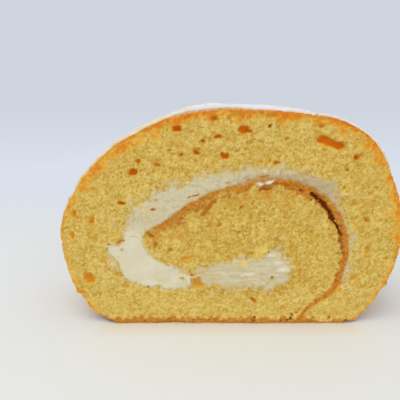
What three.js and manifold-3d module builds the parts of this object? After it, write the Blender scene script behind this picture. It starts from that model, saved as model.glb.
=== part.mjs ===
// One slice of a swiss roll cake, standing on the roll's flat underside: a soft sponge sheet
// rolled up with a band of whipped cream, cut across at the front and at the back.
// Units are millimetres. +X runs across the slice, +Y from the front cut to the back cut, +Z is up.
// The origin lies under the middle of the slice, on the surface that it stands on.
import * as THREE from "three";
import { mergeVertices } from "three/addons/utils/BufferGeometryUtils.js";
import Module from "manifold-3d";

const wasm = await Module();
wasm.setup();

// ---- Driving dimensions ----------------------------------------------------------------------
const WIDTH = 100; // the slice from side to side
const HEIGHT = 65; // from the base to the top of the roll
const THICKNESS = 30; // from cut to cut, along the roll
const CREAM_GAP = 0.3; // clearance all round the cream
const SEAM_WIDTH = 0.5; // the open joint where the sheet's end tucks under the inner turn
const DRAW_IN = 0.9; // the most that a side or the top draws in from the front cut to the back cut

const FRONT = -THICKNESS / 2;
const BACK = THICKNESS / 2;

// ---- How finely the shapes are drawn ---------------------------------------------------------
const OUTLINE_STEP = 2.4; // spacing of points along the outside
const CREAM_STEP = 1.7; // spacing of points along the cream and the seam
const DEPTH_STEPS = 4; // rings between the two cuts
const CUT_OVERRUN = 1; // how far a cutting solid runs past the cuts
const MERGE_WITHIN = 1e-4; // corners closer than this are one corner

// The drawing-in comes in slow waves: the share at rest, the swing about it, and how many radians
// the wave runs through over the slice's height or width and over its thickness.
const SIDE_WAVE = { rest: 0.6, swing: 0.4, acrossIt: 5, alongIt: 3 };
const TOP_WAVE = { rest: 0.5, swing: 0.5, acrossIt: 7, alongIt: 2 };

// ---- The roll's cross-section ----------------------------------------------------------------
// Each row is a point [x, z] of a slice 100 wide and 65 high; drawnOn() fits them to WIDTH and HEIGHT.
const KNOT_WIDTH = 100;
const KNOT_HEIGHT = 65;

// The browned outside, from the base's right end over the top to its left end.
const OUTSIDE = [
  [34.5, 0], [38.7, 1.6], [43, 6.2], [47, 13.4], [49.6, 20.4], [50, 27], [48.6, 37],
  [45.6, 45.2], [43.8, 49.3], [40, 55], [34.5, 59.4], [26, 62.6], [14.5, 64.6], [0, 65],
  [-11, 64.2], [-20.7, 61.2], [-30.4, 56.3], [-38.7, 49.8], [-45.4, 41.5], [-49.2, 32.6],
  [-50, 24.4], [-47.9, 14], [-43.7, 6.6], [-39.2, 1.7], [-34.5, 0],
];

// The browned side of the inner turn, from the seam's foot round to the sheet's inner tip.
const INNER_SKIN = [
  [22, 0], [22.6, 3.2], [26, 6.6], [30.6, 9.8], [33.2, 14], [34.2, 20], [34.5, 25.6],
  [33, 31.1], [30, 36.8], [25.5, 41.4], [18.7, 44.8], [10, 46], [2, 44.1], [-6, 41.4],
  [-13.5, 37.5], [-19.5, 33], [-25.4, 28.9],
];

// The cream's edge under the inner turn, from the inner tip back to the end of the pocket.
const UNDER_INNER = [
  [-25.4, 28.9], [-26, 25.6], [-22.6, 21.6], [-17, 18.6], [-11.5, 17.7], [-4, 20.4],
  [4, 21.9], [8.5, 21.7], [13.9, 27],
];

// The cream's other edge, from the pocket's end along the bottom layer, round the left bend and
// over the inner turn, down to where the band runs out.
const UNDER_OUTER = [
  [13.9, 27], [16.1, 23.4], [18.4, 17.8], [17.6, 14.4], [14.6, 12], [11.4, 10.7], [8.4, 11.2],
  [4.6, 12], [1, 11.1], [-5.7, 11.2], [-9.4, 13], [-14, 11.5], [-18.6, 10.9], [-22.1, 11.8],
  [-28, 12.7], [-32.6, 15.6], [-34, 20.4], [-37.1, 24.5], [-32.4, 27], [-31.7, 31.4],
  [-30.6, 36.8], [-25.6, 41.3], [-19.5, 44.4], [-10, 46.8], [-1, 48.2], [10, 49.2], [17.5, 48.2],
  [23.5, 46], [29.2, 44.8], [30.7, 40.2], [34, 32.4], [36.2, 25.6], [36.1, 18.8], [34.4, 12.8],
];
const SEAM_KNOTS = 4; // how many knots of INNER_SKIN lie below the end of the cream

// Where the inner turn's skin has lifted off its sponge: a narrow groove, widest at its middle.
const LIFTED_SKIN = [[22.4, 41], [26, 37.9], [29, 33.4], [31.3, 28.4]];
const LIFTED_WIDTH = 1.1;
const LIFTED_END = 0.12; // the groove's width at its ends, as a share of LIFTED_WIDTH
const LIFTED_DEPTH = 6;

// ---- Air holes in the cuts -------------------------------------------------------------------
// The large ones: [x, z, width, height, tilt in degrees]
const FRONT_HOLES = [
  [25, 56.6, 4.8, 2.6, -18], [28.6, 55.1, 3, 2.3, -12], [2.5, 59.7, 3.4, 2.4, -14],
  [-15.6, 59.6, 2.9, 2.2, 0], [-2.4, 52.5, 2.5, 1.9, 0], [-27.9, 47.9, 2.7, 1.7, 4],
  [-42.9, 14.7, 2.9, 3.9, 24], [34.1, 51.7, 2, 1.5, -10], [-40.7, 32.9, 1.7, 3.3, -8],
  [-34.6, 32.6, 2, 1.5, 0], [-4.7, 57.5, 2.5, 1, 4], [-32, 39, 2, 1.5, -30],
  [6.6, 8, 2.2, 1.3, -30], [39.5, 26, 1.3, 2.9, 0], [-9.6, 8, 1.8, 1.3, 0],
];
const BACK_HOLES = [
  [-30, 54, 4.4, 2.4, 24], [11, 58.6, 3.4, 2.2, -8], [36, 50.4, 2.6, 2.2, -20],
  [-7, 55.6, 2.6, 1.6, 0], [41.6, 30, 2, 3.4, 10], [-41.6, 27, 1.9, 3.2, -8],
  [22, 53.6, 2.2, 1.5, 0], [4, 6, 2.8, 1.6, 10], [26.6, 18, 2.2, 1.8, 0],
  [-38.6, 10.6, 2.6, 2.2, 30], [6, 33.6, 2.4, 1.6, 12], [-18, 6.6, 2, 1.4, 0],
];
const HOLE_DEPTH = 0.8; // of a hole's smaller width
// The small ones are scattered: so many on each cut, between these widths.
const SMALL_HOLES = 26;
const SMALL_HOLE_WIDTHS = [1, 1.7];
const HOLE_MARGIN = 1.1; // sponge left between a small hole and an edge
const SEED = 4217;

// ---- Colours ---------------------------------------------------------------------------------
const SPONGE_COLOUR = 0xd9b455;
const CREAM_COLOUR = 0xe9e2c8;

// ---- Curves ----------------------------------------------------------------------------------
const drawnOn = ([x, z]) =>
  new THREE.Vector3((x / KNOT_WIDTH) * WIDTH, (z / KNOT_HEIGHT) * HEIGHT, 0);

// Evenly spaced points on a smooth curve through the knots.
function through(knots, step) {
  const curve = new THREE.CatmullRomCurve3(knots.map(drawnOn), false, "centripetal");
  return curve.getSpacedPoints(Math.max(3, Math.round(curve.getLength() / step)));
}

// How point i of a row of points moves when the row moves by 1 to the right of the way that it runs.
// A sharp corner moves further than 1, up to a limit, so that both of its sides keep their distance.
function rightOf(points, i, closed) {
  const sharpest = 0.4;
  const last = points.length - 1;
  const before = points[i > 0 ? i - 1 : closed ? last : 0];
  const after = points[i < last ? i + 1 : closed ? 0 : last];
  const arriving = points[i].clone().sub(before).normalize();
  const leaving = after.clone().sub(points[i]).normalize();
  const along = arriving.add(leaving);
  const freeEnd = !closed && (i === 0 || i === last);
  const reach = freeEnd ? 1 : Math.max(along.length() / 2, sharpest);
  along.normalize();
  return new THREE.Vector3(along.y, -along.x, 0).divideScalar(reach);
}

// A closed outline moved outwards by a distance.
function grown(outline, distance) {
  const way = THREE.ShapeUtils.area(outline) > 0 ? distance : -distance;
  return outline.map((p, i) => p.clone().addScaledVector(rightOf(outline, i, true), way));
}

// A closed strip along a row of points; halfWidth(t) gives half its width at the share t of its length.
function strip(points, halfWidth) {
  const side = (way) =>
    points.map((p, i) =>
      p.clone().addScaledVector(rightOf(points, i, false), way * halfWidth(i / (points.length - 1))),
    );
  return [...side(1), ...side(-1).reverse()];
}

// ---- Outlines --------------------------------------------------------------------------------
function rollOutline() {
  return through(OUTSIDE, OUTLINE_STEP);
}

function creamOutline() {
  const skin = through(INNER_SKIN.slice(SEAM_KNOTS), CREAM_STEP);
  const under = through(UNDER_INNER, CREAM_STEP);
  const outer = through(UNDER_OUTER, CREAM_STEP);
  return [...skin, ...under.slice(1), ...outer.slice(1)];
}

// The joint from the base up to the end of the cream. It starts under the base and ends in the cream.
function seamOutline() {
  const knots = INNER_SKIN.slice(0, SEAM_KNOTS + 2);
  const line = through([[knots[0][0], -CUT_OVERRUN], ...knots], CREAM_STEP);
  return strip(line, () => SEAM_WIDTH / 2);
}

function liftedOutline() {
  const share = (t) => LIFTED_END + (1 - LIFTED_END) * Math.sin(Math.PI * t);
  return strip(through(LIFTED_SKIN, CREAM_STEP), (t) => share(t) * (LIFTED_WIDTH / 2));
}

// ---- Solids ----------------------------------------------------------------------------------
function solidOf(geometry) {
  const bare = geometry.clone();
  bare.deleteAttribute("normal");
  bare.deleteAttribute("uv");
  const merged = mergeVertices(bare, MERGE_WITHIN);
  return new wasm.Manifold(
    new wasm.Mesh({
      numProp: 3,
      vertProperties: merged.attributes.position.array,
      triVerts: new Uint32Array(merged.index.array),
    }),
  );
}

function geometryOf(solid) {
  const { numProp, vertProperties, triVerts } = solid.getMesh();
  const corners = new Float32Array((vertProperties.length / numProp) * 3);
  for (let i = 0; i < corners.length / 3; i++) {
    corners.set(vertProperties.subarray(i * numProp, i * numProp + 3), i * 3);
  }
  return new THREE.BufferGeometry()
    .setAttribute("position", new THREE.BufferAttribute(corners, 3))
    .setIndex(new THREE.BufferAttribute(triVerts, 1));
}

const wave = ({ rest, swing, acrossIt, alongIt }, across, along) =>
  rest + swing * Math.sin(acrossIt * across + alongIt * along);

// Draws a geometry in towards the back, unevenly, as a soft roll does. The base stays flat.
function drawnIn(geometry) {
  const position = geometry.attributes.position;
  for (let i = 0; i < position.count; i++) {
    const x = position.getX(i);
    const z = position.getZ(i);
    const along = (position.getY(i) - FRONT) / THICKNESS;
    const sideways = wave(SIDE_WAVE, z / HEIGHT, along) * (x / (WIDTH / 2));
    const downwards = wave(TOP_WAVE, x / WIDTH, along) * (z / HEIGHT);
    position.setX(i, x - DRAW_IN * along * sideways);
    position.setZ(i, z - DRAW_IN * along * downwards);
  }
  return geometry;
}

// An outline drawn in X and Z and extruded along Y, from one depth to another.
function slab(outline, from, to, steps) {
  const shape = new THREE.Shape(outline.map((p) => new THREE.Vector2(p.x, p.y)));
  const geometry = new THREE.ExtrudeGeometry(shape, {
    depth: to - from,
    steps,
    bevelEnabled: false,
  });
  geometry.rotateX(Math.PI / 2);
  geometry.translate(0, to, 0);
  return drawnIn(geometry);
}

// A cutter through both cuts.
const cutter = (outline) =>
  solidOf(slab(outline, FRONT - CUT_OVERRUN, BACK + CUT_OVERRUN, DEPTH_STEPS));

// An air hole: a lump as wide and high as the hole, centred on a cut.
function airHole([x, z, width, height, tilt], depth, detail) {
  const lump = new THREE.IcosahedronGeometry(0.5, detail);
  lump.scale(width, 2 * HOLE_DEPTH * Math.min(width, height), height);
  lump.rotateY(-THREE.MathUtils.degToRad(tilt));
  const middle = drawnOn([x, z]);
  lump.translate(middle.x, depth, middle.y);
  return solidOf(lump);
}

// ---- Where small holes may lie ---------------------------------------------------------------
function inside(outline, x, z) {
  let crossings = 0;
  outline.forEach((a, i) => {
    const b = outline[(i + 1) % outline.length];
    const level = a.y > z !== b.y > z;
    if (level && x < a.x + ((z - a.y) * (b.x - a.x)) / (b.y - a.y)) {
      crossings++;
    }
  });
  return crossings % 2 === 1;
}

const farFrom = (points, x, z, distance) =>
  points.every((p) => Math.hypot(p.x - x, p.y - z) > distance);

// So many small holes in the sponge of one cut, clear of every edge and of the holes already there.
function scattered(count, taken, edges, seed) {
  THREE.MathUtils.seededRandom(seed);
  const random = () => THREE.MathUtils.seededRandom();
  const [least, most] = SMALL_HOLE_WIDTHS;
  const holes = [];
  while (holes.length < count) {
    const x = (random() - 0.5) * WIDTH;
    const z = random() * HEIGHT;
    const width = least + (most - least) * random() ** 2;
    const height = width * (0.6 + 0.6 * random());
    const tilt = 180 * random();
    const room = width / 2 + HOLE_MARGIN;
    const apart = ([u, v, w, h]) => Math.hypot(u - x, v - z) > room + Math.max(w, h) / 2;
    const clear =
      inside(edges.roll, x, z) &&
      !inside(edges.cream, x, z) &&
      farFrom(edges.all, x, z, room + OUTLINE_STEP / 2) &&
      [...taken, ...holes].every(apart);
    if (clear) {
      holes.push([x, z, width, height, tilt]);
    }
  }
  return holes;
}

// ---- The two pieces --------------------------------------------------------------------------
function spongeSolid() {
  const roll = rollOutline();
  const cream = creamOutline();
  const seam = seamOutline();
  const edges = { roll, cream, all: [...roll, ...cream, ...seam] };
  const holesOn = (large, depth, seed) => [
    ...large.map((hole) => airHole(hole, depth, 1)),
    ...scattered(SMALL_HOLES, large, edges, seed).map((hole) => airHole(hole, depth, 0)),
  ];
  const cutAway = [
    cutter(grown(cream, CREAM_GAP)),
    cutter(seam),
    solidOf(slab(liftedOutline(), FRONT - CUT_OVERRUN, FRONT + LIFTED_DEPTH, 1)),
    ...holesOn(FRONT_HOLES, FRONT, SEED),
    ...holesOn(BACK_HOLES, BACK, SEED + 1),
  ];
  const whole = solidOf(slab(roll, FRONT, BACK, DEPTH_STEPS));
  return cutAway.reduce((cake, tool) => cake.subtract(tool), whole);
}

function creamSolid() {
  return solidOf(slab(creamOutline(), FRONT, BACK, DEPTH_STEPS));
}

// ---- The part --------------------------------------------------------------------------------
function piece(name, solid, colour, roughness) {
  const material = new THREE.MeshStandardMaterial({ color: colour, roughness, metalness: 0 });
  const mesh = new THREE.Mesh(geometryOf(solid), material);
  mesh.name = name;
  return mesh;
}

const slice = new THREE.Group();
slice.add(
  piece("sponge", spongeSolid(), SPONGE_COLOUR, 0.9),
  piece("cream", creamSolid(), CREAM_COLOUR, 0.6),
);

// The origin goes under the middle of the slice.
const box = new THREE.Box3().setFromObject(slice);
slice.position.set(-(box.min.x + box.max.x) / 2, -(box.min.y + box.max.y) / 2, -box.min.z);

export default slice;
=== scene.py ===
"""The looks of one slice of a swiss roll cake, built round its packed solids.

Lengths are design millimetres until a mesh is finished, when to_metres() fits them to the frame.
x runs across the slice, y from the front cut to the back cut, and z is up.
"""

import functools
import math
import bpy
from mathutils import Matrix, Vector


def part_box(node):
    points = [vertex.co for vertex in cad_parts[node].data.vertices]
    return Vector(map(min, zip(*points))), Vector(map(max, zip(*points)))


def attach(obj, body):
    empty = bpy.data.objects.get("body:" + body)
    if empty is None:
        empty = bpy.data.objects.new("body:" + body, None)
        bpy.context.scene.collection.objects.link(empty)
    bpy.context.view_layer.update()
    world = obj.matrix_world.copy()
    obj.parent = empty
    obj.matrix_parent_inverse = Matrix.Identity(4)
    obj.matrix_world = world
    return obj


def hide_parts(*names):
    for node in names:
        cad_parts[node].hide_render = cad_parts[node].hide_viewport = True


bl_info = {
    "name": "Swiss Roll Slice",
    "version": (1, 0, 0),
    "blender": (4, 5, 0),
    "location": "View3D > Sidebar > Cake",
    "description": "Makes a slice of swiss roll cake: sponge, whipped cream, sugar dusting and crumbs",
    "category": "Object",
}

import bmesh
import bpy
import numpy as np
from bpy.props import FloatProperty, FloatVectorProperty, IntProperty, PointerProperty
from mathutils import Matrix, Vector

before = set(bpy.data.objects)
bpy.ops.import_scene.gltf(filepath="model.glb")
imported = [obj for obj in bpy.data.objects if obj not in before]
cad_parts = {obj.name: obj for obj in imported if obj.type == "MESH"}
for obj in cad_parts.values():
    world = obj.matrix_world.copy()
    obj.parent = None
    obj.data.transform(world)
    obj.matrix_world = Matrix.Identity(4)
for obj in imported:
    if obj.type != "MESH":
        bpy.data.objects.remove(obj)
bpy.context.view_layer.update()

# ---- The slice's size, from the frame --------------------------------------------------------
DESIGN = Vector((100.1, 30.0, 65.0))  # the slice that the millimetres below are drawn for
LOW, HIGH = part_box("sponge")
FIT = [(HIGH[i] - LOW[i]) / DESIGN[i] for i in range(3)]  # metres for each design millimetre
MM = FIT[0]
FRONT = -DESIGN.y / 2
BACK = DESIGN.y / 2
SEED = 731

# ---- The roll's cross-section: the solids' own outlines, as points (x, z) ----------------------
OUTSIDE = [
    (34.5, 0), (38.7, 1.6), (43, 6.2), (47, 13.4), (49.6, 20.4), (50, 27), (48.6, 37),
    (45.6, 45.2), (43.8, 49.3), (40, 55), (34.5, 59.4), (26, 62.6), (14.5, 64.6), (0, 65),
    (-11, 64.2), (-20.7, 61.2), (-30.4, 56.3), (-38.7, 49.8), (-45.4, 41.5), (-49.2, 32.6),
    (-50, 24.4), (-47.9, 14), (-43.7, 6.6), (-39.2, 1.7), (-34.5, 0),
]
INNER_SKIN = [
    (22, 0), (22.6, 3.2), (26, 6.6), (30.6, 9.8), (33.2, 14), (34.2, 20), (34.5, 25.6),
    (33, 31.1), (30, 36.8), (25.5, 41.4), (18.7, 44.8), (10, 46), (2, 44.1), (-6, 41.4),
    (-13.5, 37.5), (-19.5, 33), (-25.4, 28.9),
]
UNDER_INNER = [
    (-25.4, 28.9), (-26, 25.6), (-22.6, 21.6), (-17, 18.6), (-11.5, 17.7), (-4, 20.4),
    (4, 21.9), (8.5, 21.7), (13.9, 27),
]
UNDER_OUTER = [
    (13.9, 27), (16.1, 23.4), (18.4, 17.8), (17.6, 14.4), (14.6, 12), (11.4, 10.7), (8.4, 11.2),
    (4.6, 12), (1, 11.1), (-5.7, 11.2), (-9.4, 13), (-14, 11.5), (-18.6, 10.9), (-22.1, 11.8),
    (-28, 12.7), (-32.6, 15.6), (-34, 20.4), (-37.1, 24.5), (-32.4, 27), (-31.7, 31.4),
    (-30.6, 36.8), (-25.6, 41.3), (-19.5, 44.4), (-10, 46.8), (-1, 48.2), (10, 49.2), (17.5, 48.2),
    (23.5, 46), (29.2, 44.8), (30.7, 40.2), (34, 32.4), (36.2, 25.6), (36.1, 18.8), (34.4, 12.8),
]
SEAM_KNOTS = 4  # how many knots of INNER_SKIN lie below the end of the cream

# The solids draw in towards the back in slow waves: the most, then rest, swing, waves across and along.
DRAW_IN = 0.9
SIDE_WAVE = (0.6, 0.4, 5, 3)
TOP_WAVE = (0.5, 0.5, 7, 2)
WAVE_WIDTH = 100
WAVE_HEIGHT = 65

# Where the inner turn's skin has lifted off its crumb: a crevice, from its top to its lower end.
CREVICE = [
    (22.0, 41.8), (24.2, 40.1), (25.2, 39.2), (26.8, 37.4), (28.4, 35.1), (29.9, 32.9), (31.5, 30.3),
    (32.1, 28.6),
]

# ---- Marks on each cut -----------------------------------------------------------------------
# Each row is x, z, width, height, a depth in millimetres or a strength up to 1, and any tilt in degrees.
FRONT_MARKS = {
    # air holes
    "holes": [
        (25.2, 56.4, 5.2, 2.3, 1.9, -20), (27.5, 55.4, 2.4, 1.8, 1.9, -20), (29, 55, 2.8, 2.2, 2, -5),
        (34.3, 51.6, 1.9, 1.5, 1.6, -5), (2.7, 59.6, 3.2, 2.4, 1.9), (4.1, 59.1, 1.6, 1.1, 1.6),
        (-15.5, 59.7, 2.5, 2.1, 1.9), (-2.4, 52.4, 2.4, 1.8, 1.8), (-28.1, 47.5, 2.5, 1.6, 1.9, 5),
        (-42.8, 14.9, 3.2, 3.8, 0.95, 28), (-5.6, 62.4, 2.4, 1.5, 1.2), (-1.4, 62.5, 1.1, 1.2, 0.6),
        (0.7, 63.3, 2.2, 1.2, 0.35), (-4.4, 57.3, 2.5, 0.8, 1.3), (-8.6, 56.4, 1.5, 0.9, 1.3, -10),
        (-10.4, 52.8, 2, 1.1, 1.5, -35), (-14.6, 52.6, 1.2, 0.6, 1.3, -10), (-17.9, 53.6, 1, 0.6, 1.2, 25),
        (-21.4, 49.4, 1.5, 1.2, 0.9), (31.9, 48.3, 1.1, 0.7, 1.3), (24, 60.2, 2.1, 1.1, 0.8),
        (9.5, 63, 2.3, 1.1, 0.6), (9.7, 60.6, 1.1, 0.7, 1.6), (12.2, 50.2, 1.4, 0.8, 1.1),
        (14.6, 57.1, 1.6, 0.9, 0.8, 10), (-26.7, 50.7, 1.5, 1.2, 1.1), (-21.7, 40, 1.1, 1.5, 0.8),
        (-32, 38.7, 2.2, 1.1, 1.5, -15), (-22.9, 26.2, 1.1, 2.6, 0.5, -15), (-24.2, 28.5, 1.9, 2.3, 0.5),
        (-13.8, 21.3, 3, 1.5, 0.35, 5), (-40.6, 33.1, 1.3, 2.6, 0.8, -10), (-45.8, 35.4, 1.2, 2.2, 0.8),
        (-46.9, 28.9, 1.1, 2.6, 0.8, 5), (7.1, 7.5, 2.4, 1, 1.3, -35), (39.1, 33.2, 1.3, 1.2, 0.9),
        (40.2, 24.2, 1.1, 2.8, 0.5), (37.4, 15.3, 1.4, 1.4, 0.5), (34.7, 38.3, 1.9, 1.2, 0.5, 15),
        (31.8, 43, 1.1, 0.8, 0.9), (-3.7, 32, 1.4, 0.9, 0.8), (2.4, 37.2, 1, 1, 1), (5.4, 38.7, 0.7, 0.5, 1),
        (7.3, 56.4, 1.6, 0.8, 0.7), (10, 50.7, 1, 1.2, 0.7), (-18.1, 24.2, 1.4, 1.1, 0.7),
        (-9.7, 53.9, 1.2, 0.6, 0.8), (-10, 13.7, 4.6, 3.8, 0.7, -3),
    ],
    # shallow, broken bubbles
    "bubbles": [
        (-9.3, 57.7, 3.6, 2.2, 0.4), (-17.6, 55.3, 3.1, 2.6, 0.5), (-19.6, 51.1, 2.5, 1.5, 0.5, 25),
        (-0.1, 51.4, 2, 1, 0.8, -15), (0.7, 53.9, 2.5, 0.8, 0.6), (-2.2, 49.4, 2.2, 0.8, 0.6),
        (4.6, 49.8, 1.7, 0.8, 0.7, -10), (-6.6, 52.1, 3.1, 1.9, 0.25), (-14.8, 48.1, 3, 1.2, 0.5),
        (-21.8, 51.9, 1.4, 1.1, 0.7), (13.6, 62.1, 2.7, 2, 0.6), (17.4, 61.6, 2.2, 0.9, 0.8),
        (31, 58.3, 1.9, 1.5, 0.8), (32.9, 57.4, 1.4, 1.1, 0.7), (13.9, 53.5, 2.4, 1.8, 0.5, 20),
        (22.3, 53, 1.7, 0.8, 0.6), (18.2, 51, 1.7, 1.3, 0.5, 20), (23.5, 50.5, 2, 1.5, 0.6, 40),
        (21.4, 50, 1.4, 1.1, 0.6), (25.9, 49.2, 1.7, 1.1, 0.5), (36.4, 54.5, 1.4, 1.9, 0.8),
        (37.7, 52.7, 1.4, 1.4, 0.6), (39, 40.9, 2, 0.9, 0.7, 20), (33.4, 11.1, 1.8, 1.4, 0.7, -30),
        (-27.9, 37.8, 2.6, 1.1, 0.7, -10), (0, 10.8, 1.8, 1.3, 0.7), (6.3, 10.8, 1.6, 1.8, 0.7, -40),
        (8.8, 10.1, 1.8, 1.5, 0.7), (-6.4, 32.1, 1.7, 0.9, 0.6), (21.7, 53.9, 3.9, 1.1, 0.35),
        (39.1, 33.2, 2.4, 2.2, 0.8), (40.2, 24.6, 2, 4.4, 0.8), (37, 15.4, 2.8, 2.4, 0.7),
        (34.7, 38.3, 3.4, 2, 0.8, 15), (41.5, 39.9, 2.6, 1.4, 0.8), (44, 29.6, 1.8, 2.6, 0.6),
        (-10.4, 59.9, 2.7, 1.1, 0.3), (-5.2, 55.2, 2.5, 0.8, 0.4), (-13.5, 54.8, 2.2, 0.8, 0.4),
        (23.6, 57.7, 5, 2.4, 0.45, -20), (-44, 16.6, 2.6, 3, 0.5, 28), (-42.8, 42, 1.4, 2.2, 0.6, 20),
    ],
    # crumb browned through from the outer skin
    "baked": [
        (-12.9, 63.1, 7.6, 2.6, 1, 8), (-5.8, 62.7, 3.8, 2.3, 0.85), (0.7, 63.5, 5.4, 2.1, 0.85),
        (7.4, 63.9, 7, 1.8, 0.75), (9.3, 63.1, 3.2, 2.4, 0.9), (16.7, 62.9, 6.5, 1.8, 0.7, -5),
        (13.5, 62.1, 3, 2.1, 0.55), (23.8, 61.9, 6.5, 2, 0.7, -12), (23.9, 60.2, 2.5, 1.6, 0.7),
        (38.5, 54.5, 2, 3.5, 0.95, -35), (36.4, 54.5, 1.7, 2.2, 0.55), (30.9, 58.3, 2.5, 1.9, 0.6),
        (-31.8, 53.5, 2.9, 2.6, 0.85, 35), (-35.2, 52.2, 2.5, 2.2, 0.7, 35), (-38.2, 49.1, 2.5, 3.4, 0.9, 40),
        (-22.7, 58.3, 2.5, 2.2, 0.55), (-26.1, 57.7, 3.3, 2.2, 0.6, 30), (-42.5, 43.1, 1.8, 4.1, 0.7, 30),
        (-45.1, 39.6, 1.7, 3.6, 0.7, 20), (-45.9, 35, 1.8, 3, 0.7, 5), (-46.9, 29, 1.8, 3.4, 0.75, 5),
        (-41, 33, 2.2, 3.2, 0.6, -10), (48.3, 18.8, 1.8, 2.6, 0.8, 30), (49.2, 23.9, 1.5, 2.9, 0.85, 10),
        (48, 32, 1.7, 4.3, 0.7), (46.3, 13.3, 2.1, 2.7, 0.8, 40), (44, 45.4, 1.7, 4, 0.6, -20),
        (46.8, 39.6, 2, 4.2, 0.6, -10), (-42.6, 14.8, 3.2, 3.6, 0.6, 28), (25.6, 56, 5.4, 2.6, 0.6, -20),
        (-45.6, 10.6, 1.8, 3.4, 0.8, -20), (-42.6, 5.6, 1.6, 3.8, 0.7, 40), (-13.8, 21.2, 3.4, 1.8, 0.6, 5),
        (-12.4, 36.4, 3.4, 1.8, 0.55, 32), (-21, 28.6, 1.8, 1.6, 0.4), (-19.6, 49, 1.5, 1, 0.4),
        (33.4, 10.9, 2.8, 1.8, 0.6, 45),
    ],
    # paler crumb
    "pale": [
        (-8.4, 61.4, 2.2, 2.7, 0.9), (19.7, 58, 4.4, 1.4, 0.4), (2.8, 51, 1.7, 1.1, 0.6),
        (-10.8, 32.8, 2.3, 1.8, 0.7), (8, 28.1, 2.6, 1.6, 0.6), (42.1, 19.5, 1.2, 1, 1),
        (40.4, 14.7, 0.9, 3, 0.8, -45), (31.9, 45.4, 2.8, 1.7, 0.6), (35.5, 41, 3.4, 2.4, 0.5),
        (18.1, 61.5, 1.1, 1.1, 0.9), (26.2, 59.4, 3.8, 1.8, 0.4), (33, 53.9, 2.2, 1.7, 0.4),
        (2.2, 63, 0.5, 2.2, 1), (20.8, 3.2, 1, 2, 0.8, -30), (-37, 44, 3, 4.4, 0.35, 30),
        (-3.6, 47.9, 3.6, 1.2, 0.5, 5), (-14.6, 46.4, 3, 1, 0.5, 12), (38.8, 46.6, 3, 4, 0.3),
    ],
    # cream smeared over crumb
    "smears": [
        (35.9, 28, 1.9, 3.3, 0.62), (35.7, 18.4, 2.6, 3, 0.52), (34.9, 14.3, 1.9, 2.6, 0.4, -20),
        (29.6, 40.6, 3.6, 4.2, 0.7), (32, 35.6, 1.9, 3.4, 0.5, -20), (36, 11.3, 1.6, 1.4, 0.35),
        (35.6, 23, 1.6, 3.4, 0.2), (-35.6, 20.4, 2, 7, 0.3, 12), (-34.6, 33, 2.4, 3, 0.25),
    ],
    # bare crumb showing in the cream
    "bare": [
        (-14.9, 44, 5, 1.2, 0.6, 18), (-25.8, 40.2, 8, 4, 0.85, 46), (-24.6, 34.2, 1.6, 2.6, 0.45, 9),
        (-19.2, 43.4, 4, 2, 0.6, 25), (-11.6, 17.2, 8.6, 2.4, 0.85, 6), (-6.6, 12.1, 12, 2.4, 0.85, -3),
        (-30, 36.4, 2.2, 4.6, 0.5, 20), (-8.2, 17.2, 3.4, 1.6, 0.6, 16), (-3.4, 14.8, 4.4, 1.1, 0.5, -4),
        (3, 17.6, 2, 1, 0.3), (11, 13.6, 2.6, 1.8, 0.45, 20), (16.2, 22.4, 1.2, 3.4, 0.6, 20),
        (-1, 20.4, 4, 0.9, 0.7, 14), (14.6, 25.6, 1.6, 2, 0.6, 20), (-4.6, 12.2, 2.2, 1.2, 0.6),
        (6.3, 11.6, 1.2, 2, 0.7, -40), (0.2, 11.8, 1.6, 1.4, 0.7), (9.2, 11.6, 1.5, 1.6, 0.7),
        (-10, 13.6, 5, 3.9, 1, -3),
    ],
    # bright yellow crumb, wet with cream
    "yolk": [
        (34.5, 31.4, 2.4, 3.1, 0.55, -10), (9, 24.4, 5, 3, 1, 34), (7.4, 22.2, 2.4, 2.3, 1),
        (3.2, 19.7, 2.8, 2.4, 0.8), (11.8, 26.4, 3, 1.5, 0.7, 28), (-25.5, 36.6, 1.3, 2.4, 0.75, 20),
        (-26.6, 38.4, 2.2, 1.4, 0.5, 40), (-13.6, 45.1, 5, 1.3, 0.45, 14), (-4.4, 16, 3, 0.8, 0.5),
        (-23.6, 10.4, 4, 1, 0.3), (33.8, 12.4, 2, 1.4, 0.3),
    ],
    # the whitest cream
    "white": [
        (15.6, 17.7, 4.2, 1.8, 1, 5), (14, 19.9, 2.6, 1.3, 0.7, 10), (-24.5, 13.1, 6.1, 2.7, 0.5),
        (7.6, 44.3, 2.8, 1.4, 1, 10), (10.3, 44.9, 3.2, 1.5, 1, 10), (-12.6, 14.2, 0.9, 3.6, 1, 4),
        (5, 16.2, 5, 1, 0.5, 6), (11.8, 22.4, 2.6, 0.8, 0.5, 10),
    ],
    # brown crumbs and scraps of skin, and some thin painted shadow lines in the cream just above the inner
    # skin
    "brown": [
        (12.2, 15.3, 1.4, 0.9, 0.55, 40), (9.2, 15, 0.9, 0.7, 0.4), (-22.9, 36.7, 1.7, 0.9, 0.6, 10),
        (-7, 37.4, 4.4, 1.9, 0.6, 58), (-5.4, 39.3, 2.4, 1.6, 0.6, 20), (-8.4, 35.4, 2.6, 1.4, 0.6, 30),
        (-10, 36.9, 3.2, 1.5, 0.5, 76), (-13.7, 35.4, 2.6, 0.9, 0.4, 60), (-16.4, 33.2, 3, 1, 0.4, 50),
        (-2.4, 40.6, 3.4, 0.9, 0.42, 34), (0.6, 40, 1.6, 0.8, 0.4, 60), (4, 37.6, 2.2, 0.6, 0.4, 20),
        (19, 2.7, 0.9, 1.3, 1), (20.1, 3.6, 0.8, 0.6, 1), (-11.8, 16.3, 0.9, 0.6, 0.9),
        (-10.6, 41.1, 2.5, 0.7, 0.75, 22), (-12.2, 40.6, 1, 0.5, 0.7, 30), (-21.8, 39.6, 1.2, 1, 0.3),
        (-32.9, 27.1, 2.7, 0.6, 1, 18), (-36.2, 25.9, 0.9, 0.5, 1), (-32.4, 24.4, 1.3, 1.9, 0.28, -25),
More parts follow.
